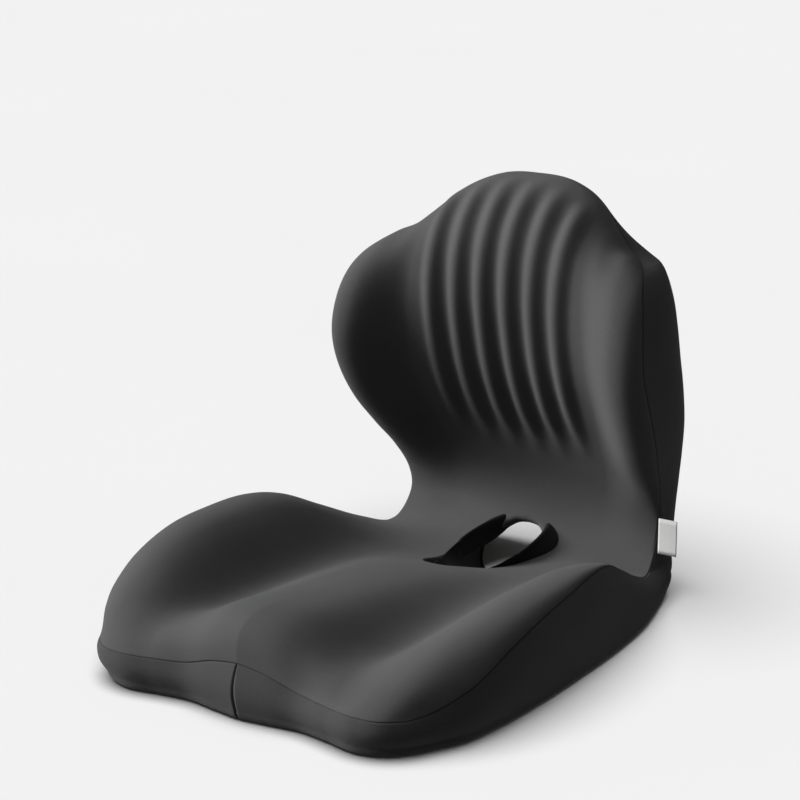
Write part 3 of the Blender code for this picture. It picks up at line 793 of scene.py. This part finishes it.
def add_tunnel(cloth, look):
    """The tunnel's lining, the bound edge where it ends, and the tool that cuts its way out."""
    rings = tunnel_path(cloth)
    leave = leave_points(rings, cloth)
    lines = rings.transpose(1, 0, 2)
    at = np.arange(len(rings))
    steps = spread(44, [(0.0, 0.05, 3.0)])
    inner = []
    for share in steps:
        ring = []
        for line, end in zip(lines, leave):
            ring.append([np.interp(share * end, at, line[:, k]) for k in range(3)])
        inner.append(ring)
    inner = np.array(inner)
    centre = inner.mean(axis=1, keepdims=True)
    bm = tube_mesh(inner, closed_ends=False)
    bm.normal_update()
    bm.verts.index_update()
    cloth_layer = bm.loops.layers.uv.new("cloth")
    girth = lengths(np.concatenate([inner, inner[:, :1]], axis=1))
    drop = np.concatenate([[0.0], np.cumsum(np.linalg.norm(np.diff(centre[:, 0], axis=0), axis=-1))])
    for face in bm.faces:
        for loop in face.loops:
            i, j = divmod(loop.vert.index, len(lines))
            wrapped = any(l.vert.index % len(lines) == len(lines) - 1 for l in face.loops)
            j = len(lines) if wrapped and j == 0 else j
            loop[cloth_layer].uv = (girth[i][j], -drop[i])
    hub = Vector(centre[len(centre) // 2, 0])
    bm.faces.ensure_lookup_table()
    probe = bm.faces[len(bm.faces) // 2]
    if (probe.calc_center_median() - hub).dot(probe.normal) > 0:
        bmesh.ops.reverse_faces(bm, faces=bm.faces)
    lining = with_thickness(object_from("tunnel_lining_cloth", bm, look), LINING_THICKNESS, -1.0)

    edge = inner[-1].copy()
    edge[:, 2] = np.maximum(edge[:, 2], BINDING_RADIUS)
    binding = round_bar("tunnel_binding", edge, BINDING_RADIUS, look, closed=True)
    tool = object_from("tunnel_tool", closed_tube(rings[30:]))
    return lining, binding, tool, rings


def widened(rings, by):
    """Rings pushed out from their own middles."""
    middle = rings.mean(axis=1, keepdims=True)
    away = rings - middle
    return middle + away * (1 + by / np.linalg.norm(away, axis=-1, keepdims=True))


def closed_tube(rings):
    """Closed tube whose faces point outwards."""
    bm = tube_mesh(rings)
    bmesh.ops.triangulate(bm, faces=bm.faces)
    bmesh.ops.recalc_face_normals(bm, faces=bm.faces)
    return bm


def round_bar(name, line, radius, look, closed=False):
    """Round bar along a line of points: a closed ring, or open with capped ends."""
    curve = bpy.data.curves.new(name, "CURVE")
    curve.dimensions = "3D"
    spline = curve.splines.new("POLY")
    spline.points.add(len(line) - 1)
    for point, place in zip(spline.points, line):
        point.co = (*place, 1.0)
    spline.use_cyclic_u = closed
    curve.bevel_depth = radius
    curve.bevel_resolution = 3 if closed else 2
    curve.use_fill_caps = not closed
    made = new_object(name + "_line", curve)
    mesh = settled_mesh(made)
    bpy.data.objects.remove(made)
    mesh.name = name
    mesh.materials.clear()
    mesh.materials.append(look)
    smooth(mesh)
    return new_object(name, mesh)


def with_thickness(made, thickness, offset):
    """Give a sheet its thickness."""
    shell = made.modifiers.new("shell", "SOLIDIFY")
    shell.thickness = thickness
    shell.offset = offset
    return keep_result(made)


def foam_body(look, rings):
    """The moulded foam inside the cover, with the tunnel cut through it."""
    cloth = lay_up_cover(36, 46, 48, opening=False)
    bm = cloth.bm
    bmesh.ops.triangulate(bm, faces=bm.faces)
    bm.normal_update()
    inner = {v: v.co - v.normal * FOAM_DEPTH * min(v.calc_shell_factor(), 1.5) for v in bm.verts}
    verts = list(inner)
    points = np.array([inner[v] for v in verts])
    zone, _ = zip_well(points)
    depth = zone * (1 - ease(0.009, 0.016, np.abs(points[:, 0]))) * 2 * ZIP_WELL_DEPTH
    for vert, point in zip(verts, points - np.array(ZIP_OUT) * depth[:, None]):
        vert.co = point
    foam = object_from("foam_body", bm, look)
    hole = widened(rings, 0.0032)
    above = hole[:1] + np.array([0.0, -0.010, 0.030])
    tool = object_from("foam_tool", closed_tube(np.concatenate([above, hole])))
    boolean_cut(foam, tool)
    bpy.data.objects.remove(tool)
    return foam


# ---------------------------------------------------------------- repeated pieces

class Nodes:
    """A node tree under construction, and short ways to add to it."""

    def __init__(self, tree):
        self.tree = tree

    def node(self, kind, inputs=None, **settings):
        made = self.tree.nodes.new(kind)
        for key, value in settings.items():
            setattr(made, key, value)
        for key, value in (inputs or {}).items():
            if isinstance(value, bpy.types.NodeSocket):
                self.tree.links.new(value, made.inputs[key])
            else:
                made.inputs[key].default_value = value
        return made

    def join_to(self, value, node, socket):
        self.tree.links.new(value, node.inputs[socket])

    def math(self, operation, a, b=0.0, c=0.0):
        return self.node("ShaderNodeMath", {0: a, 1: b, 2: c}, operation=operation).outputs[0]


class Maker(Nodes):
    """A Geometry Nodes tree under construction, with named inputs for its sizes."""

    def __init__(self, name, **sizes):
        self.name = name
        super().__init__(bpy.data.node_groups.new(name, "GeometryNodeTree"))
        faces = self.tree.interface
        faces.new_socket("Geometry", in_out="INPUT", socket_type="NodeSocketGeometry")
        self.sizes = sizes
        for label, value in sizes.items():
            kind = "NodeSocketInt" if isinstance(value, int) else "NodeSocketFloat"
            if isinstance(value, bpy.types.Object):
                kind = "NodeSocketObject"
            faces.new_socket(label, in_out="INPUT", socket_type=kind).default_value = value
        faces.new_socket("Geometry", in_out="OUTPUT", socket_type="NodeSocketGeometry")
        self.inlet = self.tree.nodes.new("NodeGroupInput")
        self.outlet = self.tree.nodes.new("NodeGroupOutput")

    def size(self, label):
        return self.inlet.outputs[label]

    def vector(self, x=0.0, y=0.0, z=0.0):
        return self.node("ShaderNodeCombineXYZ", {"X": x, "Y": y, "Z": z}).outputs[0]

    def instances(self, points, shape, scale=(1.0, 1.0, 1.0)):
        inputs = {"Points": points, "Instance": shape, "Scale": scale}
        return self.node("GeometryNodeInstanceOnPoints", inputs).outputs[0]

    def bake(self, geometry, look, name):
        """End the tree, evaluate it on a new object, and keep the result as a plain mesh."""
        real = self.node("GeometryNodeRealizeInstances", {"Geometry": geometry}).outputs[0]
        final = self.node("GeometryNodeSetMaterial", {"Geometry": real, "Material": look}).outputs[0]
        self.tree.links.new(final, self.outlet.inputs["Geometry"])
        made = new_object(name, bpy.data.meshes.new(name))
        modifier = made.modifiers.new(self.name, "NODES")
        modifier.node_group = self.tree
        for item in self.tree.interface.items_tree:
            if item.in_out == "INPUT" and item.name in self.sizes:
                modifier[item.identifier] = self.sizes[item.name]
        smooth(keep_result(made).data)
        return made


def place_on_zip(made):
    """Lay a piece made in the zip's own axes (across, out, up) on the rear face."""
    turn = Matrix((Vector((1, 0, 0)), ZIP_OUT, ZIP_UP)).transposed().to_4x4()
    made.data.transform(Matrix.Translation(ZIP_FOOT) @ turn)
    return made


def zip_row(maker, name, shape, start, look, scale=(1.0, 1.0, 1.0)):
    """Repeat a shape up the zip, a pitch apart from the start."""
    line = maker.node("GeometryNodeMeshLine", {
        "Count": maker.size("Count"), "Start Location": start,
        "Offset": maker.vector(0.0, 0.0, maker.size("Pitch")),
    }).outputs[0]
    return place_on_zip(maker.bake(maker.instances(line, shape, scale), look, name))


def coil_teeth(side, look):
    """One side's nylon coil: rounded loops a pitch apart along the zip."""
    pitch = 0.0017
    count = int((ZIP_LENGTH - 0.024) / pitch)
    maker = Maker(
        "coil_teeth", Count=count, Pitch=pitch, Width=0.0024, Thickness=0.0015,
        Gauge=0.0010, Reach=0.0009, First=0.0125 + (pitch / 2 if side < 0 else 0.0),
    )
    loop = maker.node("GeometryNodeMeshCube", {
        "Size": maker.vector(maker.size("Width"), maker.size("Thickness"), maker.size("Gauge")),
        "Vertices X": 3, "Vertices Y": 2, "Vertices Z": 2,
    }).outputs["Mesh"]
    round_loop = maker.node("GeometryNodeSubdivisionSurface", {"Mesh": loop, "Level": 1}).outputs[0]
    across = maker.math("MULTIPLY", maker.size("Reach"), float(side))
    start = maker.vector(across, -0.0018, maker.size("First"))
    return zip_row(maker, SIDES[side] + "_zip_coil", round_loop, start, look)


def tape_stitches(side, look):
    """Row of stitches that holds one tape to the cover."""
    pitch = 0.0026
    maker = Maker(
        "tape_stitches", Count=int((ZIP_LENGTH - 0.008) / pitch), Pitch=pitch,
        Length=0.0019, Thread=0.00045, Across=0.0058 * side,
    )
    bead = maker.node("GeometryNodeMeshUVSphere", {"Segments": 6, "Rings": 5, "Radius": 0.5}).outputs["Mesh"]
    stretch = maker.vector(maker.size("Thread"), maker.size("Thread"), maker.size("Length"))
    start = maker.vector(maker.size("Across"), -0.0021, 0.004)
    return zip_row(maker, SIDES[side] + "_tape_stitches", bead, start, look, stretch)


def grip_dots(floor, edges, look):
    """Grip dots under the base, in staggered rows, clear of its edge and of the tunnel."""
    maker = Maker(
        "grip_dots", Width=0.44, Length=0.58, Pitch=0.011, Radius=0.0023, Height=0.0011,
        Clearance=0.013, Floor=floor, Edges=edges,
    )
    across = maker.math("FLOOR", maker.math("DIVIDE", maker.size("Width"), maker.size("Pitch")))
    along = maker.math("FLOOR", maker.math("DIVIDE", maker.size("Length"), maker.size("Pitch")))
    grid = maker.node("GeometryNodeMeshGrid", {
        "Size X": maker.size("Width"), "Size Y": maker.size("Length"),
        "Vertices X": across, "Vertices Y": along,
    }).outputs["Mesh"]
    index = maker.node("GeometryNodeInputIndex").outputs[0]
    odd = maker.math("MODULO", maker.math("MODULO", index, along), 2.0)
    half = maker.math("MULTIPLY", maker.size("Pitch"), 0.5)
    shift = maker.vector(maker.math("MULTIPLY", odd, half), 0.0, 0.0)
    rows = maker.node("GeometryNodeSetPosition", {"Geometry": grid, "Offset": shift}).outputs[0]
    place = maker.node("GeometryNodeInputPosition").outputs[0]
    below = maker.node(
        "ShaderNodeVectorMath", {0: place, 1: (0, 0, -0.03)}, operation="ADD").outputs[0]
    target = maker.node("GeometryNodeObjectInfo", {"Object": maker.size("Floor")}).outputs["Geometry"]
    ray = maker.node("GeometryNodeRaycast", {
        "Target Geometry": target, "Source Position": below,
        "Ray Direction": (0.0, 0.0, 1.0), "Ray Length": 0.05,
    })
    rim = maker.node("GeometryNodeObjectInfo", {"Object": maker.size("Edges")}).outputs["Geometry"]
    near = maker.node("GeometryNodeProximity", {"Geometry": rim})
    far = maker.node(
        "FunctionNodeCompare", {0: near.outputs["Distance"], 1: maker.size("Clearance")},
        operation="GREATER_THAN").outputs[0]
    both = {0: ray.outputs["Is Hit"], 1: far}
    keep = maker.node("FunctionNodeBooleanMath", both, operation="AND").outputs[0]
    drop = maker.node("FunctionNodeBooleanMath", {0: keep}, operation="NOT").outputs[0]
    points = maker.node(
        "GeometryNodeDeleteGeometry", {"Geometry": rows, "Selection": drop}, domain="POINT").outputs[0]
    ball = {"Segments": 10, "Rings": 6, "Radius": 1.0}
    dome = maker.node("GeometryNodeMeshUVSphere", ball).outputs["Mesh"]
    size = maker.vector(maker.size("Radius"), maker.size("Radius"), maker.size("Height"))
    dots = maker.instances(points, dome, size)
    lift = maker.vector(0.0, 0.0, maker.size("Height"))
    moved = {"Instances": dots, "Translation": lift}
    raised = maker.node("GeometryNodeTranslateInstances", moved).outputs[0]
    return maker.bake(raised, look, "grip_dots")


# ---------------------------------------------------------------- zip and label

def add_tape(side, look):
    """One woven tape of the zip, with a thicker cord edge by the coil."""
    bm = bmesh.new()
    inner_x, outer_x = 0.0024, 0.0082
    profile = []
    for f in np.linspace(0, 1, 15):
        x = inner_x + (outer_x - inner_x) * f
        lift = 0.00035 * np.exp(-((f - 0.10) / 0.10) ** 2)
        profile.append((x, -0.00215 + lift))
    count = 60
    rows = []
    for k in range(count + 1):
        z = 0.001 + (ZIP_LENGTH - 0.002) * k / count
        top = [bm.verts.new((side * x, y, z)) for x, y in profile]
        bottom = [bm.verts.new((side * x, -0.0029, z)) for x, _ in reversed(profile)]
        rows.append(top + bottom)
    bm.faces.new(rows[0])
    bm.faces.new(rows[-1][::-1])
    for low, high in zip(rows[:-1], rows[1:]):
        for i in range(len(low)):
            j = (i + 1) % len(low)
            bm.faces.new([low[j], low[i], high[i], high[j]])
    bmesh.ops.recalc_face_normals(bm, faces=bm.faces)
    return place_on_zip(object_from(SIDES[side] + "_zip_tape_cloth", bm, look))


def rounded_plate(name, outline, low, high, look, bevel=0.0002, segments=2, holes=()):
    """Plate in the zip's axes: an outline across and up, between two depths, edges rounded."""
    bm = bmesh.new()
    for depth in (low, high):
        loops = []
        for line in (outline, *holes):
            verts = [bm.verts.new((x, depth, z)) for x, z in line]
            loops.append([bm.edges.new((verts[i], verts[(i + 1) % len(verts)])) for i in range(len(verts))])
        edges = [e for loop in loops for e in loop]
        bmesh.ops.triangle_fill(bm, edges=edges, use_beauty=True)
        if depth == low:
            low_loops = loops
    for one, two in zip(low_loops, loops):
        for a, b in zip(one, two):
            bm.faces.new([a.verts[0], a.verts[1], b.verts[1], b.verts[0]])
    bmesh.ops.recalc_face_normals(bm, faces=bm.faces)
    bmesh.ops.dissolve_limit(bm, angle_limit=radians(1), verts=bm.verts, edges=bm.edges)
    made = object_from(name, bm, look)
    modifier = made.modifiers.new("edge", "BEVEL")
    modifier.width = bevel
    modifier.segments = segments
    modifier.limit_method = "ANGLE"
    smooth(keep_result(made).data)
    made.data.set_sharp_from_angle(angle=radians(35))
    return made


def oval(width, height, centre_z=0.0, count=28, power=2.0):
    """Outline of a rounded shape across and up, counter-clockwise."""
    line = []
    for k in range(count):
        a = 2 * pi * k / count
        x = np.sign(cos(a)) * abs(cos(a)) ** (2 / power) * width / 2
        z = np.sign(sin(a)) * abs(sin(a)) ** (2 / power) * height / 2
        line.append((x, centre_z + z))
    return line


def whole_outline(half, at):
    """Outline from its right half, moved up to its height and mirrored."""
    right_half = [(x, at + z) for x, z in half]
    return right_half + [(-x, z) for x, z in reversed(right_half)]


def join(name, *pieces, keep=False):
    """Join several meshes into one piece, and remove them unless they are kept."""
    bm = bmesh.new()
    looks = []
    for piece in pieces:
        start = len(bm.faces)
        bm.from_mesh(piece.data)
        bm.faces.ensure_lookup_table()
        look = piece.data.materials[0]
        if look not in looks:
            looks.append(look)
        for face in bm.faces[start:]:
            face.material_index = looks.index(look)
        if not keep:
            bpy.data.objects.remove(piece)
    made = object_from(name, bm)
    for look in looks:
        made.data.materials.append(look)
    return made


def add_slider(look):
    """Slider: two shield plates round the coil, joined by a nose, with a bail on top."""
    at = SLIDER_PLACE
    half = ((0.0031, 0.0052), (0.0039, 0.0030), (0.0040, 0.0), (0.0036, -0.0035), (0.0030, -0.0054))
    shield = whole_outline(half, at)
    upper = rounded_plate("slider_upper", shield, 0.0000, 0.0014, look, 0.00035, 3)
    under = rounded_plate("slider_under", [(x * 0.94, z) for x, z in shield], -0.0019, -0.0012, look)
    nose = rounded_plate("slider_nose", oval(0.0016, 0.0030, at + 0.0036), -0.0014, 0.0004, look)
    bend = []
    for k in range(15):
        a = pi * k / 14
        bend.append((0.0, 0.0010 + 0.0030 * sin(a) ** 0.7, at - 0.00075 + 0.0024 * cos(a)))
    bail = round_bar("slider_bail", bend, 0.00055, look)
    return place_on_zip(join("slider_body", upper, under, nose, bail))


def add_puller(look):
    """Puller: a tapered tab with an eye at the top and a slot near its end."""
    at = SLIDER_PLACE
    depth = 0.0024
    half = ((0.0028, -0.0006), (0.0030, -0.0060), (0.0026, -0.0110), (0.0029, -0.0200), (0.0021, -0.0229))
    tab = whole_outline(half, at)
    eye = oval(0.0028, 0.0046, at - 0.0029, 20, 3.0)
    slot = oval(0.0026, 0.0062, at - 0.0172, 20, 3.0)
    plate = rounded_plate("puller_tab", tab, depth - 0.0005, depth + 0.0005, look, 0.00022, 2, (eye, slot))
    bar_line = [(x, depth, at) for x in (-0.0029, 0.0, 0.0029)]
    bar = round_bar("puller_bar", bar_line, 0.0006, look)
    return place_on_zip(join("puller_tab_and_bar", plate, bar))


def add_stop(name, z, look):
    """Clamped end stop of the zip."""
    outline = oval(0.0046, 0.0034, z, 20, 5.0)
    return place_on_zip(rounded_plate(name, outline, -0.0027, -0.0008, look, 0.0003, 3))


def add_label(look):
    """Blank loop label: a ribbon folded double, its ends caught in the right side seam."""
    low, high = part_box("side_label")
    root, fold = low.x - 0.002, high.x - 0.0008
    share = np.linspace(0, 1, 13)
    turn = np.linspace(-pi / 2, pi / 2, 9)[1:-1]
    leaf = np.column_stack([root + (fold - root) * share, 0.00045 + 0.00018 * np.sin(pi * share)])
    bend = np.column_stack([fold + 0.0007 * np.cos(turn), 0.00045 * np.sin(turn)])
    line = np.concatenate([leaf * (1, -1), bend, leaf[::-1]]) + (0, (low.y + high.y) / 2)
    bm = bmesh.new()
    rows = [[bm.verts.new((x, y, z)) for x, y in line] for z in np.linspace(low.z, high.z, 9)]
    for a, b in zip(rows[:-1], rows[1:]):
        for i in range(len(a) - 1):
            bm.faces.new([a[i], a[i + 1], b[i + 1], b[i]]).smooth = True
    bmesh.ops.recalc_face_normals(bm, faces=bm.faces)
    return with_thickness(object_from("loop_label", bm, look), 0.0004, 0.0)


# ---------------------------------------------------------------- materials

class Look(Nodes):
    """A material under construction: its nodes, its shader, and its place in the object."""

    def __init__(self, name, colour, roughness, **sockets):
        self.made = bpy.data.materials.new(name)
        self.made.use_nodes = True
        super().__init__(self.made.node_tree)
        self.shader = self.tree.nodes["Principled BSDF"]
        self.shader.inputs["Base Color"].default_value = (*colour, 1.0)
        self.shader.inputs["Roughness"].default_value = roughness
        for label, value in sockets.items():
            self.shader.inputs[label.replace("_", " ")].default_value = value
        self.spot = self.node("ShaderNodeTexCoord").outputs["Object"]

    def noise(self, scale, detail=2.0, roughness=0.5):
        inputs = {"Vector": self.spot, "Scale": scale, "Detail": detail, "Roughness": roughness}
        return self.node("ShaderNodeTexNoise", inputs).outputs["Fac"]

    def colour(self, factor, low, dark, high, light):
        made = self.node("ShaderNodeValToRGB", {"Fac": factor})
        for element, place, tone in zip(made.color_ramp.elements, (low, high), (dark, light)):
            element.position = place
            element.color = (*tone, 1.0)
        self.join_to(made.outputs["Color"], self.shader, "Base Color")

    def bump(self, height, distance, strength=1.0):
        made = self.node("ShaderNodeBump", {"Height": height, "Distance": distance, "Strength": strength})
        self.join_to(made.outputs["Normal"], self.shader, "Normal")


def knit_cloth(name, dark, light, wale=0.0011, course=0.0008, relief=0.00016):
    """Fine weft knit: rows of small V stitches in a melange yarn, with the low parts between the stitches
    darkened as painted shade.
    """
    look = Look(name, light, 0.92, Specular_IOR_Level=0.18, Sheen_Weight=0.08, Sheen_Roughness=0.55)
    place = look.node("ShaderNodeUVMap", uv_map="cloth").outputs["UV"]
    split = look.node("ShaderNodeSeparateXYZ", {"Vector": place})
    wales = look.math("MULTIPLY", split.outputs["X"], 1 / wale)
    courses = look.math("MULTIPLY", split.outputs["Y"], 1 / course)
    from_wale = look.math("ABSOLUTE", look.math("SUBTRACT", look.math("FRACT", wales), 0.5))
    off_leg = look.math("MULTIPLY", look.math("SUBTRACT", from_wale, 0.25), 4.0)
    leg = look.math("SUBTRACT", 1.0, look.math("MULTIPLY", off_leg, off_leg))
    slant = look.math("SUBTRACT", courses, look.math("MULTIPLY", from_wale, 1.4))
    loop = look.math("SINE", look.math("MULTIPLY", slant, 2 * pi))
    height = look.math("MULTIPLY", leg, look.math("MULTIPLY_ADD", loop, 0.28, 0.72))
    yarn = look.noise(1500.0, 2.0, 0.6)
    patchy = look.noise(9.0, 3.0)
    # The stitch height darkens the low parts between the loops, which is painted shade; the yarn and patchy
    # noise are the yarn's own uneven tone.
    tone = look.math("MULTIPLY_ADD", height, 0.30, look.math("MULTIPLY_ADD", yarn, 0.5, 0.08))
    tone = look.math("ADD", tone, look.math("MULTIPLY_ADD", patchy, 0.24, -0.12))
    look.colour(tone, 0.15, dark, 0.85, light)
    look.bump(look.math("MULTIPLY_ADD", yarn, 0.25, height), relief, 0.8)
    return look.made


def plain_weave(name, dark, light, pitch=0.0006, relief=0.00012):
    """Plain weave read from the piece's own position, with the low parts of the weave darkened as painted
    shade.
    """
    look = Look(name, light, 0.85, Specular_IOR_Level=0.2)
    split = look.node("ShaderNodeSeparateXYZ", {"Vector": look.spot})
    waves = []
    for axis in "XYZ":
        waves.append(look.math("SINE", look.math("MULTIPLY", split.outputs[axis], 2 * pi / pitch)))
    cross = look.math("MULTIPLY", look.math("ADD", waves[0], waves[1]), look.math("ADD", waves[1], waves[2]))
    height = look.math("MULTIPLY_ADD", cross, 0.12, 0.5)
    yarn = look.noise(900.0, 2.0, 0.6)
    patchy = look.noise(14.0)
    # The weave height darkens its low parts, which is painted shade; the yarn and patchy noise are the
    # yarn's own uneven tone.
    tone = look.math("MULTIPLY_ADD", yarn, 0.5, look.math("MULTIPLY", height, 0.4))
    tone = look.math("ADD", tone, look.math("MULTIPLY_ADD", patchy, 0.2, -0.1))
    look.colour(tone, 0.2, dark, 0.8, light)
    look.bump(height, relief, 0.7)
    return look.made


def open_foam(name):
    """Open-cell moulded foam."""
    look = Look(name, (0.75, 0.68, 0.46), 0.9)
    cells = look.node("ShaderNodeTexVoronoi", {"Vector": look.spot, "Scale": 900.0}).outputs["Distance"]
    look.colour(look.noise(20.0, 3.0), 0.3, (0.66, 0.58, 0.36), 0.7, (0.80, 0.74, 0.52))
    look.bump(cells, 0.0004, 0.8)
    return look.made


def zip_coil(name, colour):
    """Slightly glossy nylon."""
    look = Look(name, colour, 0.45)
    tone = look.noise(700.0)
    look.colour(tone, 0.3, tuple(0.7 * c for c in colour), 0.7, colour)
    look.join_to(look.math("MULTIPLY_ADD", tone, 0.25, 0.35), look.shader, "Roughness")
    return look.made


def painted_metal(name, colour):
    """Cast zip metal with a dark finish, brighter where fingers wear it."""
    look = Look(name, colour, 0.35, Metallic=0.85)
    grain = look.noise(1200.0, 3.0, 0.6)
    look.colour(look.noise(160.0), 0.35, colour, 0.75, tuple(1.8 * c + 0.03 for c in colour))
    look.join_to(look.math("MULTIPLY_ADD", grain, 0.25, 0.25), look.shader, "Roughness")
    look.bump(grain, 0.00004, 0.5)
    return look.made


# ---------------------------------------------------------------- stage

def add_light(name, towards, energy, angle, receivers):
    """Soft distant light that falls only on the given collection."""
    sun = bpy.data.lights.new(name, "SUN")
    sun.energy = energy
    sun.angle = radians(angle)
    made = bpy.data.objects.new(name, sun)
    made.rotation_mode = "QUATERNION"
    made.rotation_quaternion = Vector(towards).to_track_quat("-Z", "Y")
    made.light_linking.receiver_collection = receivers
    scene.collection.objects.link(made)


def add_stage():
    """Pale floor with its own soft light from above, and pale surroundings."""
    bm = bmesh.new()
    bmesh.ops.create_grid(bm, x_segments=1, y_segments=1, size=14.0)
    look = Look("studio_floor", (0.86, 0.86, 0.86), 0.9, Specular_IOR_Level=0.0)
    look.colour(look.noise(1.5), 0.0, (0.85, 0.85, 0.85), 1.0, (0.87, 0.87, 0.87))
    floor = object_from("studio_floor", bm, look.made)
    floor_set = bpy.data.collections.new("floor_lit")
    floor_set.objects.link(floor)
    add_light("overhead", (0.10, 0.16, -0.98), 2.95, 60, floor_set)
    world = bpy.data.worlds.new("studio")
    world.use_nodes = True
    sky = Nodes(world.node_tree)
    dim = sky.tree.nodes["Background"]
    dim.inputs["Color"].default_value = (1.0, 1.0, 1.0, 1.0)
    dim.inputs["Strength"].default_value = 0.11
    pale = sky.node("ShaderNodeBackground", {"Color": (0.88, 0.88, 0.88, 1.0)}).outputs[0]
    seen = sky.node("ShaderNodeLightPath").outputs["Is Camera Ray"]
    mix = sky.node("ShaderNodeMixShader", {"Fac": seen, 1: dim.outputs[0], 2: pale}).outputs[0]
    sky.join_to(mix, sky.tree.nodes["World Output"], "Surface")
    scene.world = world
    scene.view_settings.view_transform = "Standard"
    floor.visible_diffuse = False


def light_cushion(pieces):
    """Key light from the left and front, low enough to shape the wings and ribs, with fill."""
    lit = bpy.data.collections.new("cushion_lit")
    for piece in pieces:
        lit.objects.link(piece)
    add_light("key", (0.82, 0.40, -0.42), 4.5, 28, lit)
    add_light("fill", (0.45, 0.45, -0.77), 1.3, 50, lit)


add_camera()
add_stage()
knit = knit_cloth("face_knit", (0.030, 0.030, 0.031), (0.115, 0.115, 0.118))
# The gussets' knit is the face's knit made darker as painted shade for the side turned away from the key
# light. Both gussets use it.
side_knit_with_painted_shade = knit_cloth("gusset_knit", (0.022, 0.022, 0.023), (0.085, 0.085, 0.088))
lining_cloth = plain_weave("lining_cloth", (0.006, 0.006, 0.006), (0.020, 0.020, 0.021))
base_cloth = plain_weave("base_cloth", (0.010, 0.010, 0.011), (0.030, 0.030, 0.032), 0.0011, 0.0002)
tape_cloth = plain_weave("zip_tape", (0.010, 0.010, 0.011), (0.032, 0.032, 0.034), 0.0007, 0.0001)
label_cloth = plain_weave("label_tape", (0.55, 0.55, 0.54), (0.78, 0.78, 0.77), 0.0005, 0.00006)
thread = plain_weave("sewing_thread", (0.012, 0.012, 0.013), (0.040, 0.040, 0.042), 0.0003, 0.00005)
rubber = zip_coil("grip_rubber", (0.018, 0.018, 0.019))
nylon = zip_coil("zip_teeth", (0.030, 0.030, 0.032))
metal = painted_metal("zip_metal", (0.10, 0.10, 0.105))
foam_look = open_foam("moulded_foam")

cover = lay_up_cover(HALF_COLUMNS, SEAT_ROWS, BACK_ROWS)
tension_seams(cover)
lining, binding, tunnel_tool, tunnel = add_tunnel(cover, lining_cloth)
face = panel_object(cover, FACE, "face_cover", knit)
right = panel_object(cover, RIGHT, "right_gusset_cover", side_knit_with_painted_shade)
left = panel_object(cover, LEFT, "left_gusset_cover", side_knit_with_painted_shade)
base = panel_object(cover, BASE, "base_cover", base_cloth)
cover.bm.free()
for piece in (right, left, base):
    boolean_cut(piece, tunnel_tool)
bpy.data.objects.remove(tunnel_tool)
guide = join("edge_guide", right, left, binding, keep=True)
dots = grip_dots(base, guide, rubber)
bpy.data.objects.remove(guide)
foam = foam_body(foam_look, tunnel)

tapes = {side: add_tape(side, tape_cloth) for side in SIDES}
coils = {side: coil_teeth(side, nylon) for side in SIDES}
stitches = [tape_stitches(side, thread) for side in SIDES]
slider = add_slider(metal)
puller = add_puller(metal)
foot_stop = add_stop("foot_stop", STOP_INSET, metal)
head_stop = add_stop("head_stop", ZIP_LENGTH - STOP_INSET, metal)
label = add_label(label_cloth)

STANDS_FOR = (
    (face, "face_knit", "seat_face_cover", "back_face_cover"),
    (right, "gusset_knit", "right_side_gusset", "right_rear_panel"),
    (left, "gusset_knit", "left_side_gusset", "left_rear_panel"),
    (foam, "foam", "seat_foam", "back_foam"),
    (base, "base_cloth", "base_panel"),
    (lining, "lining_cloth", "tunnel_lining"),
    (binding, "lining_cloth"),
    (dots, "base_cloth"),
    (label, "label_tape", "side_label"),
    (tapes[1], "zip_tape", "right_zip_tape"),
    (tapes[-1], "zip_tape", "left_zip_tape"),
    (coils[1], "zip_teeth", "right_zip_teeth"),
    (coils[-1], "zip_teeth", "left_zip_teeth"),
    (foot_stop, "zip_metal", "zip_bottom_stop"),
    (head_stop, "zip_metal", "zip_top_stop"),
    (slider, "zip_metal", "zip_slider"),
    (puller, "zip_metal", "zip_puller"),
    (stitches[0], "zip_tape"),
    (stitches[1], "zip_tape"),
)
for piece, slot, *nodes in STANDS_FOR:
    if nodes:
        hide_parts(*nodes)
for piece in (face, right, left, foam):
    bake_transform(piece)
for piece in (base, lining, binding, dots, label):
    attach(piece, "seat")
for piece in (*tapes.values(), *coils.values(), *stitches, foot_stop, head_stop):
    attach(piece, "back")
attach(slider, "zip_slider")
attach(puller, "zip_puller")

light_cushion([piece for piece, *_ in STANDS_FOR])
